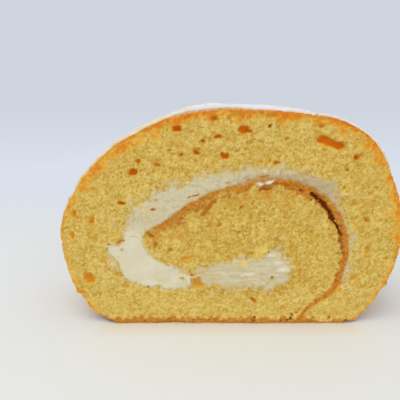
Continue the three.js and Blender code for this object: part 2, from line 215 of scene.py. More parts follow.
        (-33.7, 21.8, 1.3, 0.6, 0.2, -40), (-15, 15.2, 1.9, 0.9, 0.4, -16), (-14.4, 14.4, 0.8, 0.6, 0.9),
        (-25.4, 12.5, 1.6, 0.5, 0.7), (-11.2, 14.9, 1.5, 0.45, 0.8, -35), (29.9, 43.6, 0.35, 1.8, 0.45),
        (4.6, 45.4, 2.2, 0.5, 0.5, 6), (-1.6, 44.6, 1.4, 0.5, 0.5, 14), (20.6, 43.9, 1.8, 0.5, 0.5, -26),
        (9.1, 42.9, 5.2, 1.2, 0.8, 12), (24.8, 41, 5.4, 1.8, 0.62, -28), (16.4, 42.9, 3.6, 0.7, 0.75, -6),
        (19.4, 42.3, 3.2, 0.8, 0.9, -22), (8.6, 46.4, 4, 0.6, 0.55, 8), (20.4, 40.9, 1.6, 0.6, 0.6, -30),
        (-1.4, 42.2, 2, 1, 0.6, 20), (-12.6, 36.6, 2.4, 0.8, 0.65, 30), (-28.8, 28.3, 5.4, 0.4, 0.3, -6),
        (11.6, 45.7, 3.4, 0.6, 0.7, 4), (-23.8, 28.6, 2.6, 1.9, 0.6, -30), (-22.5, 25.8, 1.5, 2.8, 0.55, -15),
        (-12.2, 14.6, 0.5, 2.4, 0.45, 4), (6, 17.5, 2.8, 0.4, 0.3), (-4.6, 14, 3, 0.35, 0.25),
        (15, 22.6, 1, 0.4, 0.35, 10), (-18.4, 33.6, 2, 0.8, 0.5, 34), (33.2, 27.4, 0.9, 1.4, 0.5, 10),
        (17.4, 0.9, 2.6, 0.9, 0.75),
    ],
    # the darkest specks and lines, with painted shade about the crevice
    "burnt": [
        (8, 42.5, 2.4, 0.4, 0.5, 10), (23.6, 39.9, 1, 1.2, 0.5, 20), (15.6, 0.7, 0.9, 0.6, 0.8),
        (19.5, 42.3, 2.6, 0.7, 0.8, -22), (22.6, 39.6, 0.7, 0.8, 0.8), (-25.6, 28.4, 1, 0.8, 0.5),
        (18.8, 1.6, 1, 1.2, 0.8, 20),
    ],
}
BACK_MARKS = {
    "holes": [
        (-30, 54, 4, 2, 2.2, 24), (-27.6, 55.4, 2, 1.4, 1.8, 10), (11, 58.6, 3, 1.8, 1.9, -8),
        (36, 50.4, 2.4, 1.8, 1.8, -20), (-7, 55.6, 2.3, 1.4, 1.6), (41.6, 30, 1.6, 2.9, 1.5, 10),
        (-41.6, 27, 1.6, 2.7, 1.5, -8), (22, 53.6, 2, 1.3, 1.5), (4, 6, 2.4, 1.3, 1.4, 10),
        (26.6, 18, 1.9, 1.4, 1.2), (-38.6, 10.6, 2.2, 1.8, 1.7, 30), (6, 33.6, 2.1, 1.3, 1.2, 12),
        (-18, 6.6, 1.8, 1.1, 1.2), (-20, 58.6, 2, 0.9, 1.1, 14), (29, 58.4, 1.9, 1.1, 1.1, -20),
        (44.6, 40.6, 1.1, 2, 1, 10), (-45.4, 36.4, 1.2, 2, 1, -12), (0.6, 61.6, 2.1, 1, 1.3),
        (17.6, 34.6, 1.8, 1, 0.9, -20), (-12.4, 26.6, 1.9, 1.2, 0.9, 10), (38.6, 14.4, 1.5, 1.3, 1.1),
    ],
    "bubbles": [
        (-12, 58.6, 3.4, 2, 0.5), (18, 56, 3, 2, 0.5), (-36, 46, 2.4, 2.2, 0.6, 30),
        (40, 44, 2, 2.6, 0.5, -20), (-24, 6, 3.2, 1.4, 0.5), (14, 30, 3, 1.6, 0.4),
        (28, 52, 2.6, 1.2, 0.6, -10), (-2, 51.6, 2.8, 1, 0.5), (36, 22, 1.6, 2.4, 0.5),
    ],
    "baked": [
        (14, 63.2, 7, 2.4, 0.9), (-6, 63.4, 6, 2, 0.8, 4), (-24, 59.8, 5, 2.2, 0.8, 24),
        (32, 59.4, 4, 2.2, 0.8, -28), (42.4, 49.4, 2, 4, 0.8, -24), (-44.6, 41.2, 2, 4, 0.8, 26),
        (48.6, 28, 1.8, 4.2, 0.8), (-48.4, 24, 1.8, 4.4, 0.8), (45.4, 11.6, 2, 3.2, 0.8, 34),
        (-44.4, 10, 2, 3.6, 0.8, -30), (-10, 37.6, 3, 1.8, 0.6, 30),
    ],
    "pale": [
        (-30, 50, 4, 2.4, 0.5, 20), (8, 55, 4, 1.8, 0.4), (38, 38, 3, 4, 0.4), (12, 8, 4, 1.8, 0.4),
        (20, 28, 3.4, 2, 0.4),
    ],
    "smears": [
        (35.6, 24, 2.2, 5, 0.6), (30.6, 39.6, 3.4, 4, 0.6), (-35.4, 30, 2.2, 4, 0.3),
    ],
    "bare": [
        (-26.4, 40.4, 3, 1.6, 0.6, 44), (4, 47.4, 4, 1, 0.5, 6), (-2, 16, 3.4, 1.2, 0.6),
        (12.4, 13.4, 2.4, 1.6, 0.6, 10), (16, 22, 1.2, 3, 0.6, 20),
    ],
    "yolk": [
        (5, 21, 4.4, 2, 0.8, 14), (-12, 45, 5, 1.4, 0.5, 14), (-30.4, 36, 1.4, 2.6, 0.5, 10),
    ],
    "white": [(-26, 17, 6, 4, 0.6, -20), (10, 17, 5, 1.6, 0.7, 4)],
    "brown": [
        (-4, 43.6, 2.2, 0.6, 0.7, 16), (-30, 24, 1.2, 0.8, 0.6), (6, 14.6, 1.4, 0.8, 0.6, 10),
        (16, 45.8, 1.6, 0.5, 0.6, -10), (-20, 14.6, 1.2, 0.6, 0.5), (-19, 33, 2, 0.8, 0.6, 34),
    ],
    "burnt": [(-25.6, 28.4, 1, 0.8, 0.5)],
}

# ---- Curves ----------------------------------------------------------------------------------
BATCH = 6000  # how many points nearest() measures at a time


def through(knots, step=0.5, samples=24):
    """Evenly spaced points on a centripetal Catmull-Rom curve through the knots."""
    knots = np.array(knots, float)
    knots = np.vstack([2 * knots[0] - knots[1], knots, 2 * knots[-1] - knots[-2]])
    share = np.linspace(0, 1, samples, endpoint=False)[:, None]
    rows = []
    for before, start, end, after in zip(knots, knots[1:], knots[2:], knots[3:]):
        spans = ((before, start), (start, end), (end, after))
        t1, t2, t3 = np.cumsum([math.dist(a, b) ** 0.5 for a, b in spans])
        t = t1 + share * (t2 - t1)
        a = before * (t1 - t) / t1 + start * t / t1
        b = start * (t2 - t) / (t2 - t1) + end * (t - t1) / (t2 - t1)
        c = end * (t3 - t) / (t3 - t2) + after * (t - t2) / (t3 - t2)
        d = a * (t2 - t) / t2 + b * t / t2
        e = b * (t3 - t) / (t3 - t1) + c * (t - t1) / (t3 - t1)
        rows.append(d * (t2 - t) / (t2 - t1) + e * (t - t1) / (t2 - t1))
    rows.append(knots[-2:-1])
    line = np.vstack(rows)
    run = arc_lengths(line)
    places = np.linspace(0, run[-1], max(4, round(run[-1] / step)) + 1)
    return np.column_stack([np.interp(places, run, line[:, i]) for i in range(2)])


def arc_lengths(line):
    return np.concatenate([[0], np.cumsum(np.hypot(*np.diff(line, axis=0).T))])


def closed(line):
    return np.vstack([line, line[:1]])


def nearest(line, points):
    """For each point: its distance to the line, how far along that is, its side (+1 is left), and where."""
    start, step = line[:-1], np.diff(line, axis=0)
    length = np.hypot(*step.T)
    run = arc_lengths(line)
    found = []
    for part in np.array_split(points, max(1, len(points) // BATCH)):
        away = part[:, None] - start
        share = unit((away * step).sum(2) / length**2)
        gap = away - share[..., None] * step
        distance = np.hypot(gap[..., 0], gap[..., 1])
        best = distance.argmin(1)
        rows = np.arange(len(part))
        gap = gap[rows, best]
        side = step[best, 0] * gap[:, 1] - step[best, 1] * gap[:, 0]
        along = run[best] + share[rows, best] * length[best]
        found.append(np.column_stack([distance[rows, best], along, np.where(side >= 0, 1, -1), part - gap]))
    found = np.vstack(found)
    return found[:, 0], found[:, 1], found[:, 2], found[:, 3:5]


def inside(outline, points):
    """Whether each point lies inside the closed outline."""
    odd = np.zeros(len(points), bool)
    for (ax, az), (bx, bz) in zip(outline, np.roll(outline, -1, axis=0)):
        level = (az > points[:, 1]) != (bz > points[:, 1])
        if az != bz:
            odd ^= level & (points[:, 0] < ax + (points[:, 1] - az) * (bx - ax) / (bz - az))
    return odd


CREAM_OUTER = through(UNDER_OUTER)
ROLL = closed(through(OUTSIDE))
CREAM = closed(np.vstack([through(INNER_SKIN[SEAM_KNOTS:]), through(UNDER_INNER)[1:], CREAM_OUTER[1:]]))
SKIN = through(INNER_SKIN)
LIFTED = through(CREVICE)


def unit(value):
    return np.clip(value, 0, 1)


def smoothstep(low, high, value):
    """Rises smoothly from 0 at low to 1 at high."""
    t = unit((value - low) / (high - low))
    return t * t * (3 - 2 * t)


def fade(low, high, value):
    """Falls smoothly from 1 at low to 0 at high."""
    return 1 - smoothstep(low, high, value)


def to_metres(points):
    """Fits design millimetres to the frame, drawn in towards the back as the solids are."""
    x, y, z = np.array(points, float).T
    along = (y - FRONT) / (BACK - FRONT)

    def wave(shape, across):
        rest, swing, across_it, along_it = shape
        return rest + swing * np.sin(across_it * across + along_it * along)

    drawn_x = x - DRAW_IN * along * wave(SIDE_WAVE, z / WAVE_HEIGHT) * x / (WAVE_WIDTH / 2)
    drawn_z = z - DRAW_IN * along * wave(TOP_WAVE, x / WAVE_WIDTH) * z / WAVE_HEIGHT
    return np.column_stack([drawn_x * FIT[0], y * FIT[1], drawn_z * FIT[2]])


# ---- Maps: smooth random fields and stamped marks on a fine grid -----------------------------
CELL = 0.1  # a map's cell
MOST_WARP = 0.6  # how far a warped grid may carry a mark's edge
SECTION_LOW = (-54, -4)
SECTION_HIGH = (54, 69)
SECTION_X, SECTION_Z = np.meshgrid(
    np.arange(SECTION_LOW[0], SECTION_HIGH[0], CELL), np.arange(SECTION_LOW[1], SECTION_HIGH[1], CELL)
)


class Map:
    """Values over a rectangle, read between its cells."""

    def __init__(self, values, low=SECTION_LOW, cell=CELL):
        self.values, self.low, self.cell = values, low, cell

    def at(self, across, up):
        rows, columns = self.values.shape
        u = np.clip((across - self.low[0]) / self.cell, 0, columns - 1.001)
        v = np.clip((up - self.low[1]) / self.cell, 0, rows - 1.001)
        i, j = u.astype(int), v.astype(int)
        u, v = u - i, v - j
        lower = self.values[j, i] * (1 - u) + self.values[j, i + 1] * u
        upper = self.values[j + 1, i] * (1 - u) + self.values[j + 1, i + 1] * u
        return lower * (1 - v) + upper * v


def softened(values, across, up=None):
    """The values blurred over about that many millimetres."""
    up = across if up is None else up
    rows = np.fft.fftfreq(values.shape[0], CELL)[:, None]
    columns = np.fft.rfftfreq(values.shape[1], CELL)[None, :]
    keep = np.exp(-0.5 * (math.pi / 2) ** 2 * ((columns * across) ** 2 + (rows * up) ** 2))
    return np.fft.irfft2(np.fft.rfft2(values) * keep, values.shape)


def waves(rng, shape, across, up=None):
    """A smooth random field of unit spread whose lumps are about that many millimetres wide."""
    field = softened(rng.standard_normal(shape), across, up)
    return field / field.std()


def bowl(r):
    """A round-bottomed hollow with a clear rim."""
    return np.sqrt(unit(1 - r * r))


def stain(r):
    """A patch that fades at its edge."""
    return fade(0.45, 1.25, r)


def stamp(field, across, up, low, marks, profile, squareness=2.0):
    """Adds marks to a field, the strongest winning. A warped grid of places makes them uneven."""
    for x, z, width, height, strength, *tilt in marks:
        reach = 0.75 * max(width, height) + MOST_WARP
        (i0, i1), (j0, j1) = (
            (max(0, int((at - reach - start) / CELL)), int((at + reach - start) / CELL) + 2)
            for at, start in ((x, low[0]), (z, low[1]))
        )
        dx, dz = across[j0:j1, i0:i1] - x, up[j0:j1, i0:i1] - z
        turn = math.radians(sum(tilt))
        c, s = math.cos(turn), math.sin(turn)
        u, v = abs(dx * c + dz * s) / (width / 2), abs(dz * c - dx * s) / (height / 2)
        r = (u**squareness + v**squareness) ** (1 / squareness)
        window = field[j0:j1, i0:i1]
        np.maximum(window, strength * profile(r), out=window)
    return field


def scatter(rng, count, low, high, widths, strengths, squash=(0.6, 1.0), tilt=40):
    """That many marks at random over a rectangle, most of them near the smaller width."""
    width = widths[0] + (widths[1] - widths[0]) * rng.random(count) ** 2
    strength = strengths[0] + (strengths[1] - strengths[0]) * rng.random(count)
    x, z = (rng.uniform(low[i], high[i], count) for i in (0, 1))
    height = width * rng.uniform(*squash, count)
    return np.column_stack([x, z, width, height, strength, rng.uniform(-tilt, tilt, count)])


@functools.cache
def lines():
    """How far each place of the section lies from its lines, on the section's grid."""
    coarse = 0.5
    sides = [np.arange(low, high + 1, coarse) for low, high in zip(SECTION_LOW, SECTION_HIGH)]
    across, up = np.meshgrid(*sides)
    points = np.column_stack([across.ravel(), up.ravel()])

    def fine(values):
        return Map(values.reshape(across.shape), cell=coarse).at(SECTION_X, SECTION_Z)

    def from_outline(outline):
        return fine(nearest(outline, points)[0] * np.where(inside(outline, points), 1, -1))

    skin, along, side, _ = nearest(SKIN, points)
    return {
        "edge": from_outline(ROLL),  # inside the roll is positive
        "cream": from_outline(CREAM),  # inside the cream is positive
        "outer": fine(nearest(CREAM_OUTER, points)[0]),
        "skin": fine(skin * side),  # on the inner turn's side is positive
        "share": fine(along) / arc_lengths(SKIN)[-1],
    }


# ---- What a cut looks like -------------------------------------------------------------------
ALL_OVER = ((-51, 0), (51, 66))  # the corners of a rectangle round the roll
# Marks scattered over the crumb: how many, between which widths, how strong, how squashed, how tilted
SPECKS = (6500, (0.4, 0.95), (0.0, 1.0), (0.45, 0.9), 50)
BUBBLES = (560, (1.0, 3.0), (0.1, 0.6), (0.4, 0.8), 25)
PORES = (40, (0.7, 1.3), (0.3, 0.7), (0.5, 0.9), 35)
BASE_PITS = (34, (0.5, 1.2), (0.35, 0.95), (0.4, 0.8), 20)
SPECK_DEPTH = 0.11
BUBBLE_DEPTH = 0.24
CREVICE_DEPTH = 1.6
CREVICE_WIDTH = 1.75
NEAR_CREVICE = ((20, 22), (36, 45))  # the corners of a rectangle round it
# The inner skin's width along its length, from the seam's foot to the inner tip: share, width
SKIN_WIDTHS = (
    (0, 1.1), (0.07, 0.9), (0.14, 1.4), (0.22, 2.0), (0.3, 2.3), (0.42, 2.2), (0.48, 2.9), (0.55, 3.4),
    (0.63, 3.1), (0.72, 3.2), (0.8, 3.3), (0.88, 3.8), (0.95, 3.0), (1, 1.8),
)


class Cut:
    """One cut through the roll: its relief and the masks of its colours, over the section's grid."""

    def __init__(self, seed, marks, has_crevice):
        self.rng = np.random.default_rng(seed)
        self.marks = marks
        self.line = lines()
        widths = (8, 3, 1.5, 0.8, 0.45)
        self.lumps, self.patches, self.small, self.fine, self.grain = map(self.wave, widths)
        # the section's places, warped so that marks stamped at them have uneven edges
        self.soft_place = [g + 0.35 * self.wave(2.4) + 0.12 * self.wave(0.9) for g in (SECTION_X, SECTION_Z)]
        self.crisp_place = [g + 0.15 * self.wave(1.7) + 0.05 * self.wave(0.7) for g in (SECTION_X, SECTION_Z)]
        self.crevice = self.lifted_skin() if has_crevice else np.zeros(SECTION_X.shape)
        crumb = self.crumb_masks()
        cream = self.cream_masks()
        self.maps = {name: unit(value) for name, value in {**crumb, **cream}.items()}
        share = self.maps["cream"]
        self.maps["relief"] = self.crumb_relief() * (1 - share) + self.cream_relief() * share - self.crevice

    def wave(self, across, up=None):
        return waves(self.rng, SECTION_X.shape, across, up)

    def stamped(self, marks, profile, crisp=False, squareness=2.0):
        """A field of marks, given as rows or by the name of their table."""
        place = self.crisp_place if crisp else self.soft_place
        rows = self.marks[marks] if isinstance(marks, str) else marks
        return stamp(np.zeros(SECTION_X.shape), *place, SECTION_LOW, rows, profile, squareness)

    def scattered(self, count, *shape):
        return scatter(self.rng, count, *ALL_OVER, *shape)

    def lifted_skin(self):
        """How deep the crevice is beside the lifted skin."""
        (left, low), (right, high) = NEAR_CREVICE
        near = (SECTION_X > left) & (SECTION_X < right) & (SECTION_Z > low) & (SECTION_Z < high)
        rows, columns = np.nonzero(near)
        ragged = [place[rows, columns] for place in self.crisp_place]
        distance, along, _, _ = nearest(LIFTED, np.column_stack(ragged))
        share = along / arc_lengths(LIFTED)[-1]
        half = CREVICE_WIDTH / 2 * (0.15 + 0.85 * np.sin(math.pi * unit(share) ** 0.8) ** 0.7)
        depth = np.zeros(SECTION_X.shape)
        depth[rows, columns] = CREVICE_DEPTH * fade(0.2 * half, 1.25 * half, distance)
        return softened(depth, 0.2)

    def crumb_masks(self):
        edge, patches, small, fine = self.line["edge"], self.patches, self.small, self.fine
        self.specks = softened(self.stamped(self.scattered(*SPECKS), bowl, crisp=True), 0.2)
        bubbles = [*self.scattered(*BUBBLES), *self.marks["bubbles"]]
        self.bubbles = softened(self.stamped(bubbles, bowl, squareness=2.4), 0.3)
        holes = [*self.scattered(*PORES), *self.marks["holes"]]
        self.holes = softened(self.stamped(holes, bowl, crisp=True, squareness=2.6), 0.22)
        # a soft ring round each hole, for its painted orange tint of light scattered round it
        halo = softened(self.holes, 1.6)
        pits = self.rng.permutation(self.scattered(*BASE_PITS))
        pits[:, 1] = self.rng.uniform(0.9, 2.0, len(pits))  # all of them lie low down, along the base
        pits[:, 0] *= 0.72
        self.pits = np.maximum(*(self.stamped(rows, stain, crisp=True) for rows in ("burnt", pits)))

        skin, tan, lip, toast = self.inner_skin()
        baked, rim = self.browned()
        low_down, higher = fade(4, 16, SECTION_Z), smoothstep(40, 50, SECTION_Z)
        inner_turn = fade(0.75, 1.05, np.hypot((SECTION_X - 6) / 27, (SECTION_Z - 24) / 19))
        fleck = 0.5 + 0.13 * fine + 0.12 * self.grain + 0.075 * small + 0.045 * patches
        # ochre: painted shade and orange bounce in the shallow bubbles and round the holes, with real
        # browning by the inner skin and higher up
        ochre = 0.9 * self.bubbles + 0.5 * halo + 0.6 * toast + 0.12 * (np.clip(patches - 0.6, 0, 2) + higher)
        worn = smoothstep(23, 30, SECTION_X) * np.clip(0.9 + 0.5 * patches, 0.2, 1.6)
        return {
            # fleck: random tone, lighter low down as painted bounce light from the tabletop, a little darker
            # in the inner turn and to the right
            "fleck": fleck + 0.1 * low_down - 0.09 * inner_turn - 0.04 * smoothstep(30, 38, SECTION_X),
            "open": 0.85 + 0.3 * higher - 0.3 * low_down - 0.25 * smoothstep(-20, -34, SECTION_X),
            # the small cells, for their painted shade
            "speck": np.maximum(self.specks, 0) ** 1.5,
            "ochre": ochre,
            # how deep the holes are, which sets their painted shade
            "hole": self.holes / 2,
            "baked": baked,
            "rim": rim,
            "dusted": fade(-0.2, 0.35, edge + 0.1 * fine) * smoothstep(61.8, 64, SECTION_Z),
            "base": fade(1.3, 2.2, SECTION_Z + 0.3 * small + worn) * (edge < 2.5),
            "skin": skin,
            "tan": tan,
            "lip": lip,
            "pale": self.stamped("pale", stain),
            "brown": self.stamped("brown", stain, crisp=True),
            # the darkest specks, and painted shade deep in the crevice
            "burnt": np.maximum(self.pits, smoothstep(0.5, 1.5, self.crevice)),
        }

    def browned(self):
        """The crumb that is browned from the outer skin, and that skin's own cut edge."""
        edge, patches, small, fine = self.line["edge"], self.patches, self.small, self.fine
        # these are 1 in that part of the roll, where its browning is unlike the rest
        left, right = smoothstep(-36, -44, SECTION_X), smoothstep(34, 42, SECTION_X)
        top = smoothstep(56, 61, SECTION_Z)
        shoulders = smoothstep(33, 41, SECTION_Z) * (right + smoothstep(-8, -18, SECTION_X) * (1 - left))
        low_right, foot = (right * fade(low, low + 11, SECTION_Z) for low in (16, 12))
        width = np.clip(2.4 + 0.8 * patches + 0.6 * self.lumps + 0.4 * small, 0.8, 5.0)
        width *= (1 - 0.75 * fade(1.5, 6, SECTION_Z)) * (1 - 0.15 * top - 0.2 * left)
        width *= 1 + 0.3 * shoulders + 0.35 * right - 0.8 * low_right
        baked = fade(0, 1.5 * width, edge) * (0.72 + 0.1 * self.lumps + 0.1 * patches + 0.08 * small)
        baked *= (1 - 0.32 * left) * (1 - 0.12 * shoulders - 0.06 * right + 0.2 * top - 0.35 * foot)
        baked = np.maximum(baked, self.stamped("baked", stain) * (0.9 + 0.12 * small + 0.08 * fine))
        toasted = fade(0.2, 2.0, edge + 0.3 * fine) * top * unit(0.6 + 0.4 * small)
        rim = fade(0.1, 0.55, edge + 0.06 * fine)
        rim *= (1 - left) * (1 - 0.8 * np.maximum(shoulders, right))
        return baked, np.maximum(rim, toasted)

    def inner_skin(self):
        """The skin inside the cut: all of it, its tan outer edge, the painted shadow of the gap along it, and
        toasted crumb by it.
        """
        edge, skin, share = (self.line[name] for name in ("edge", "skin", "share"))
        patches, small, fine = self.patches, self.small, self.fine
        wide = np.interp(share, *zip(*SKIN_WIDTHS)) * (1 + 0.22 * patches + 0.2 * small)
        fuzzy = smoothstep(0.58, 0.72, share)
        across = skin / wide + 0.1 * fine + 0.15 * fuzzy * small
        spill = 0.25 + 0.5 * smoothstep(0.7, 0.8, share)
        spilt = fade(spill, spill + 0.6, -skin + 0.15 * fine + 0.12 * small)
        inner = np.where(skin >= 0, fade(0.75 - 0.35 * fuzzy, 1.15, across), spilt)
        broken = smoothstep(0.2, 0.5, across) * smoothstep(0.6, 0.7, share)
        inner *= 1 - broken * np.clip(0.4 - 0.5 * patches - 0.35 * small, 0, 0.9)
        inner *= (share < 0.995) * (edge > -1) * (1 - 0.1 * fuzzy)
        inner = np.maximum(inner, 0.85 * unit(1.1 * softened(self.crevice, 1.8)))
        tan = smoothstep(-0.2, 0.8, -skin + 0.15 * small)
        # painted shadow of the thin gap along the skin's inner side, and of a seam along its middle for a
        # stretch
        lip = smoothstep(0.5, 0.85, across) * fade(1.0, 1.35, across)
        lip *= smoothstep(0.17, 0.24, share) * fade(0.42, 0.5, share) * unit(0.5 + 0.5 * patches)
        seam = smoothstep(0.3, 0.5, across) * fade(0.55, 0.8, across) * smoothstep(0.5, 0.58, share)
        lip = np.maximum(lip, 0.6 * seam * unit(0.5 + 0.5 * small + 0.4 * patches))
        toast = smoothstep(0.7, 1.0, across) * fade(1.3, 2.0, across)
        toast *= smoothstep(0.45, 0.55, share) * unit(0.6 + 0.6 * patches)
        return inner, tan, lip, toast

    def cream_masks(self):
        """Where the cream lies, blurred into the crumb where it has soaked in, and its own shades."""
        cream, outer, skin, edge = (self.line[name] for name in ("cream", "outer", "skin", "edge"))
        patches, small, fine = self.patches, self.small, self.fine
        # the band over the inner turn, the pocket under it, and the band's thin end
        band = smoothstep(27, 33, SECTION_Z)
        pocket = smoothstep(-15, -8, SECTION_X) * (1 - band)
        thin = smoothstep(28, 31.5, SECTION_X)
        by_skin = (abs(skin) < outer) & (self.line["share"] < 0.99)
        blur = np.where(by_skin, 0.45, 0.85 + 0.85 * band + 0.65 * pocket)
        ragged = blur * (0.24 * patches + 0.2 * small + 0.1 * fine)
        # the blur reaches further into the cream than into the crumb
        lean = (0.3 + 0.25 * smoothstep(-10, -20, SECTION_X) * band) * blur * (1 - by_skin)
        spill = 0.5 * smoothstep(0.7, 0.8, self.line["share"]) * by_skin
        white = self.stamped("white", stain, crisp=True)
        share = smoothstep(-blur, blur, cream - lean - spill + ragged)
        share = share * (1 - thin * unit(0.6 + 0.2 * patches))
        share = np.maximum(share, self.stamped("smears", stain) * (0.9 + 0.2 * small))
        share = share * (1 - self.stamped("bare", stain))
        far_end = smoothstep(12, 26, SECTION_X)
        shade = fade(0.1, 2.6 + 2.4 * far_end, abs(skin) + 0.5 * small)
        shade *= 0.5 * smoothstep(-24, -6, SECTION_X) + 0.5 * smoothstep(-4, 6, SECTION_X)
        return {
            "cream": np.maximum(share, white * (edge > 0.5)),
            "shade": band * np.maximum(shade, 0.75 * far_end),
            "grain": 0.15 + 0.8 * band + 0.55 * pocket,
            "streaks": pocket,
            "white": white,
            "yolk": self.stamped("yolk", stain) * (0.9 + 0.2 * small),
        }

    def crumb_relief(self):
        relief = 0.13 * self.lumps + 0.05 * self.patches + 0.035 * self.small
        relief += 0.035 * self.fine + 0.03 * self.grain + 0.12
        relief -= SPECK_DEPTH * self.specks + BUBBLE_DEPTH * self.bubbles + self.holes
        relief -= 0.35 * self.pits + 0.3 * fade(0, 0.7, self.line["edge"])
        return relief + 0.7 * fade(0.2, 2.6, SECTION_Z)

    def cream_relief(self):
        maps = self.maps
        relief = 0.14 * self.lumps + 0.05 * self.patches + 0.10
        relief += maps["grain"] * (0.05 * self.small + 0.045 * self.fine + 0.03 * self.grain)
        relief += maps["streaks"] * 0.07 * self.wave(6, 0.55)
        return relief + 0.3 * maps["white"] - 0.15 * self.pits

    def read(self, points):
        """The relief and the masks at places (x, z) of the cut."""
        return {name: Map(values).at(*points.T) for name, values in self.maps.items()}


@functools.cache
def front_cut():
    return Cut(SEED + 10, FRONT_MARKS, has_crevice=True)


@functools.cache
def back_cut():
    return Cut(SEED + 20, BACK_MARKS, has_crevice=False)


# ---- Meshes ----------------------------------------------------------------------------------
GRID = (104, 68)  # the size of the grid that a section is cut from
GRID_MIDDLE = 32  # the height of its middle
CORNER_ROUNDS = 3  # how often the border's lone corners are taken off
RELAXED_ROWS = 3  # rows of squares beside the border that are evened out
RELAX_ROUNDS = 4
ON_LINE = 0.02  # how close to a line a vertex on it lies
SHARP = 1.0  # an edge bent by more radians is shaded sharp


def section_cells(step, keep, edges, reach=0.0):
    """A bmesh of square cells over the section where keep() says so.

    Its border is drawn onto the edges, or that far outside them.
    """
    columns, rows = (round(size / step) for size in GRID)
    upright = Matrix.Translation((0, 0, GRID_MIDDLE)) @ Matrix.Rotation(math.radians(90), 4, "X")
    scale = Matrix.Diagonal((columns * step, rows * step, 1, 1))
    bm = bmesh.new()
    bmesh.ops.create_grid(bm, x_segments=columns, y_segments=rows, size=0.5, matrix=upright @ scale)
    centres = np.array([f.calc_center_median()[:] for f in bm.faces])[:, ::2]
    outside = [f for f, kept in zip(bm.faces[:], keep(centres)) if not kept]
    bmesh.ops.delete(bm, geom=outside, context="FACES")
    for _ in range(CORNER_ROUNDS):
        corners = [v for v in bm.verts if len(v.link_faces) == 1 and len(v.link_edges) == 2]
        bmesh.ops.dissolve_verts(bm, verts=corners)
    border = [v for v in bm.verts if v.is_boundary]
    places = np.array([(v.co.x, v.co.z) for v in border])
    found = [nearest(edge, places) for edge in edges]
    best = np.argmin([distance for distance, _, _, _ in found], axis=0)
    for i, v in enumerate(border):
        on_line = found[best[i]][3][i]
        away = places[i] - on_line
        v.co.x, v.co.z = on_line + reach * away / max(np.hypot(*away), 1e-6)
    ring, near = set(border), set()
    for _ in range(RELAXED_ROWS):
        ring = {e.other_vert(v) for v in ring for e in v.link_edges} - set(border)
        near |= ring
    for _ in range(RELAX_ROUNDS):
        bmesh.ops.smooth_vert(
            bm, verts=list(near), factor=0.5, use_axis_x=True, use_axis_y=False, use_axis_z=True
        )
    return bm


def doubled(bm, way):
    """Extrudes all of a flat bmesh that way, into one closed solid."""
    made = bmesh.ops.extrude_face_region(bm, geom=bm.faces[:], use_keep_orig=True)
    moved = [g for g in made["geom"] if isinstance(g, bmesh.types.BMVert)]
    bmesh.ops.translate(bm, vec=way, verts=moved)
    bmesh.ops.recalc_face_normals(bm, faces=bm.faces)


def thicken(bm):
    """Makes the section one solid from the front cut to the back cut."""
    bmesh.ops.translate(bm, vec=(0, FRONT, 0), verts=bm.verts)
    doubled(bm, (0, BACK - FRONT, 0))
    for e in bm.edges:
        if e.calc_face_angle(0) > SHARP:
            e.smooth = False


def coordinates(bm):
    return np.array([v.co[:] for v in bm.verts])


def read_cuts(points):
    """The relief, along y, and the masks at every point that lies on a cut."""
    relief = np.zeros(len(points))
    masks = {}
    for here, cut, way in (
        (points[:, 1] < FRONT + 0.01, front_cut(), -1),
        (points[:, 1] > BACK - 0.01, back_cut(), 1),
    ):
        values = cut.read(points[here][:, ::2])
        relief[here] = way * values.pop("relief")
        for name, found in values.items():
            masks.setdefault(name, np.zeros(len(points)))[here] = found
    return relief, masks


def finished(bm, name, points, masks, materials, node):
    """Makes the bmesh an object at these points, with its masks and materials, riding on the frame."""
    mesh = bpy.data.meshes.new(name)
    bm.to_mesh(mesh)
    bm.free()
    mesh.vertices.foreach_set("co", to_metres(points).astype(np.float32).ravel())
    for title, values in masks.items():
        layer = mesh.attributes.new(title, "FLOAT", "POINT")
        layer.data.foreach_set("value", np.asarray(values, np.float32))
    for material in materials:
        mesh.materials.append(material)
    mesh.shade_smooth()
    mesh.update()
    piece = bpy.data.objects.new(name, mesh)
    bpy.context.scene.collection.objects.link(piece)
    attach(piece, "root")
    if node:
        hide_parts(node)


# ---- Shading ---------------------------------------------------------------------------------
# In a ramp, each stop is a place and a colour or grey; in soft(), bump() and noise(), lengths are in mm.
MID_TONE = 0.545  # the tone of the crumb's main colour
NEAR = 100  # how far from the slice the tabletop starts to fade into the room
FOOT = {"X": 34, "Y": BACK}  # half of the slice's width and thickness where it rests
# WARMTH paints warm bounce light and contact shade on the tabletop round the slice's foot
WARMTH = ((0, 0.5), (0.25, 0.3), (0.8, 0))  # light from the cake on the tabletop: centimetres away, strength


def linear(colour):
    """A colour as it is seen, 0 to 1, made linear for a shader."""
    return tuple(c / 12.92 if c <= 0.04045 else ((c + 0.055) / 1.055) ** 2.4 for c in colour[:3]) + (1,)


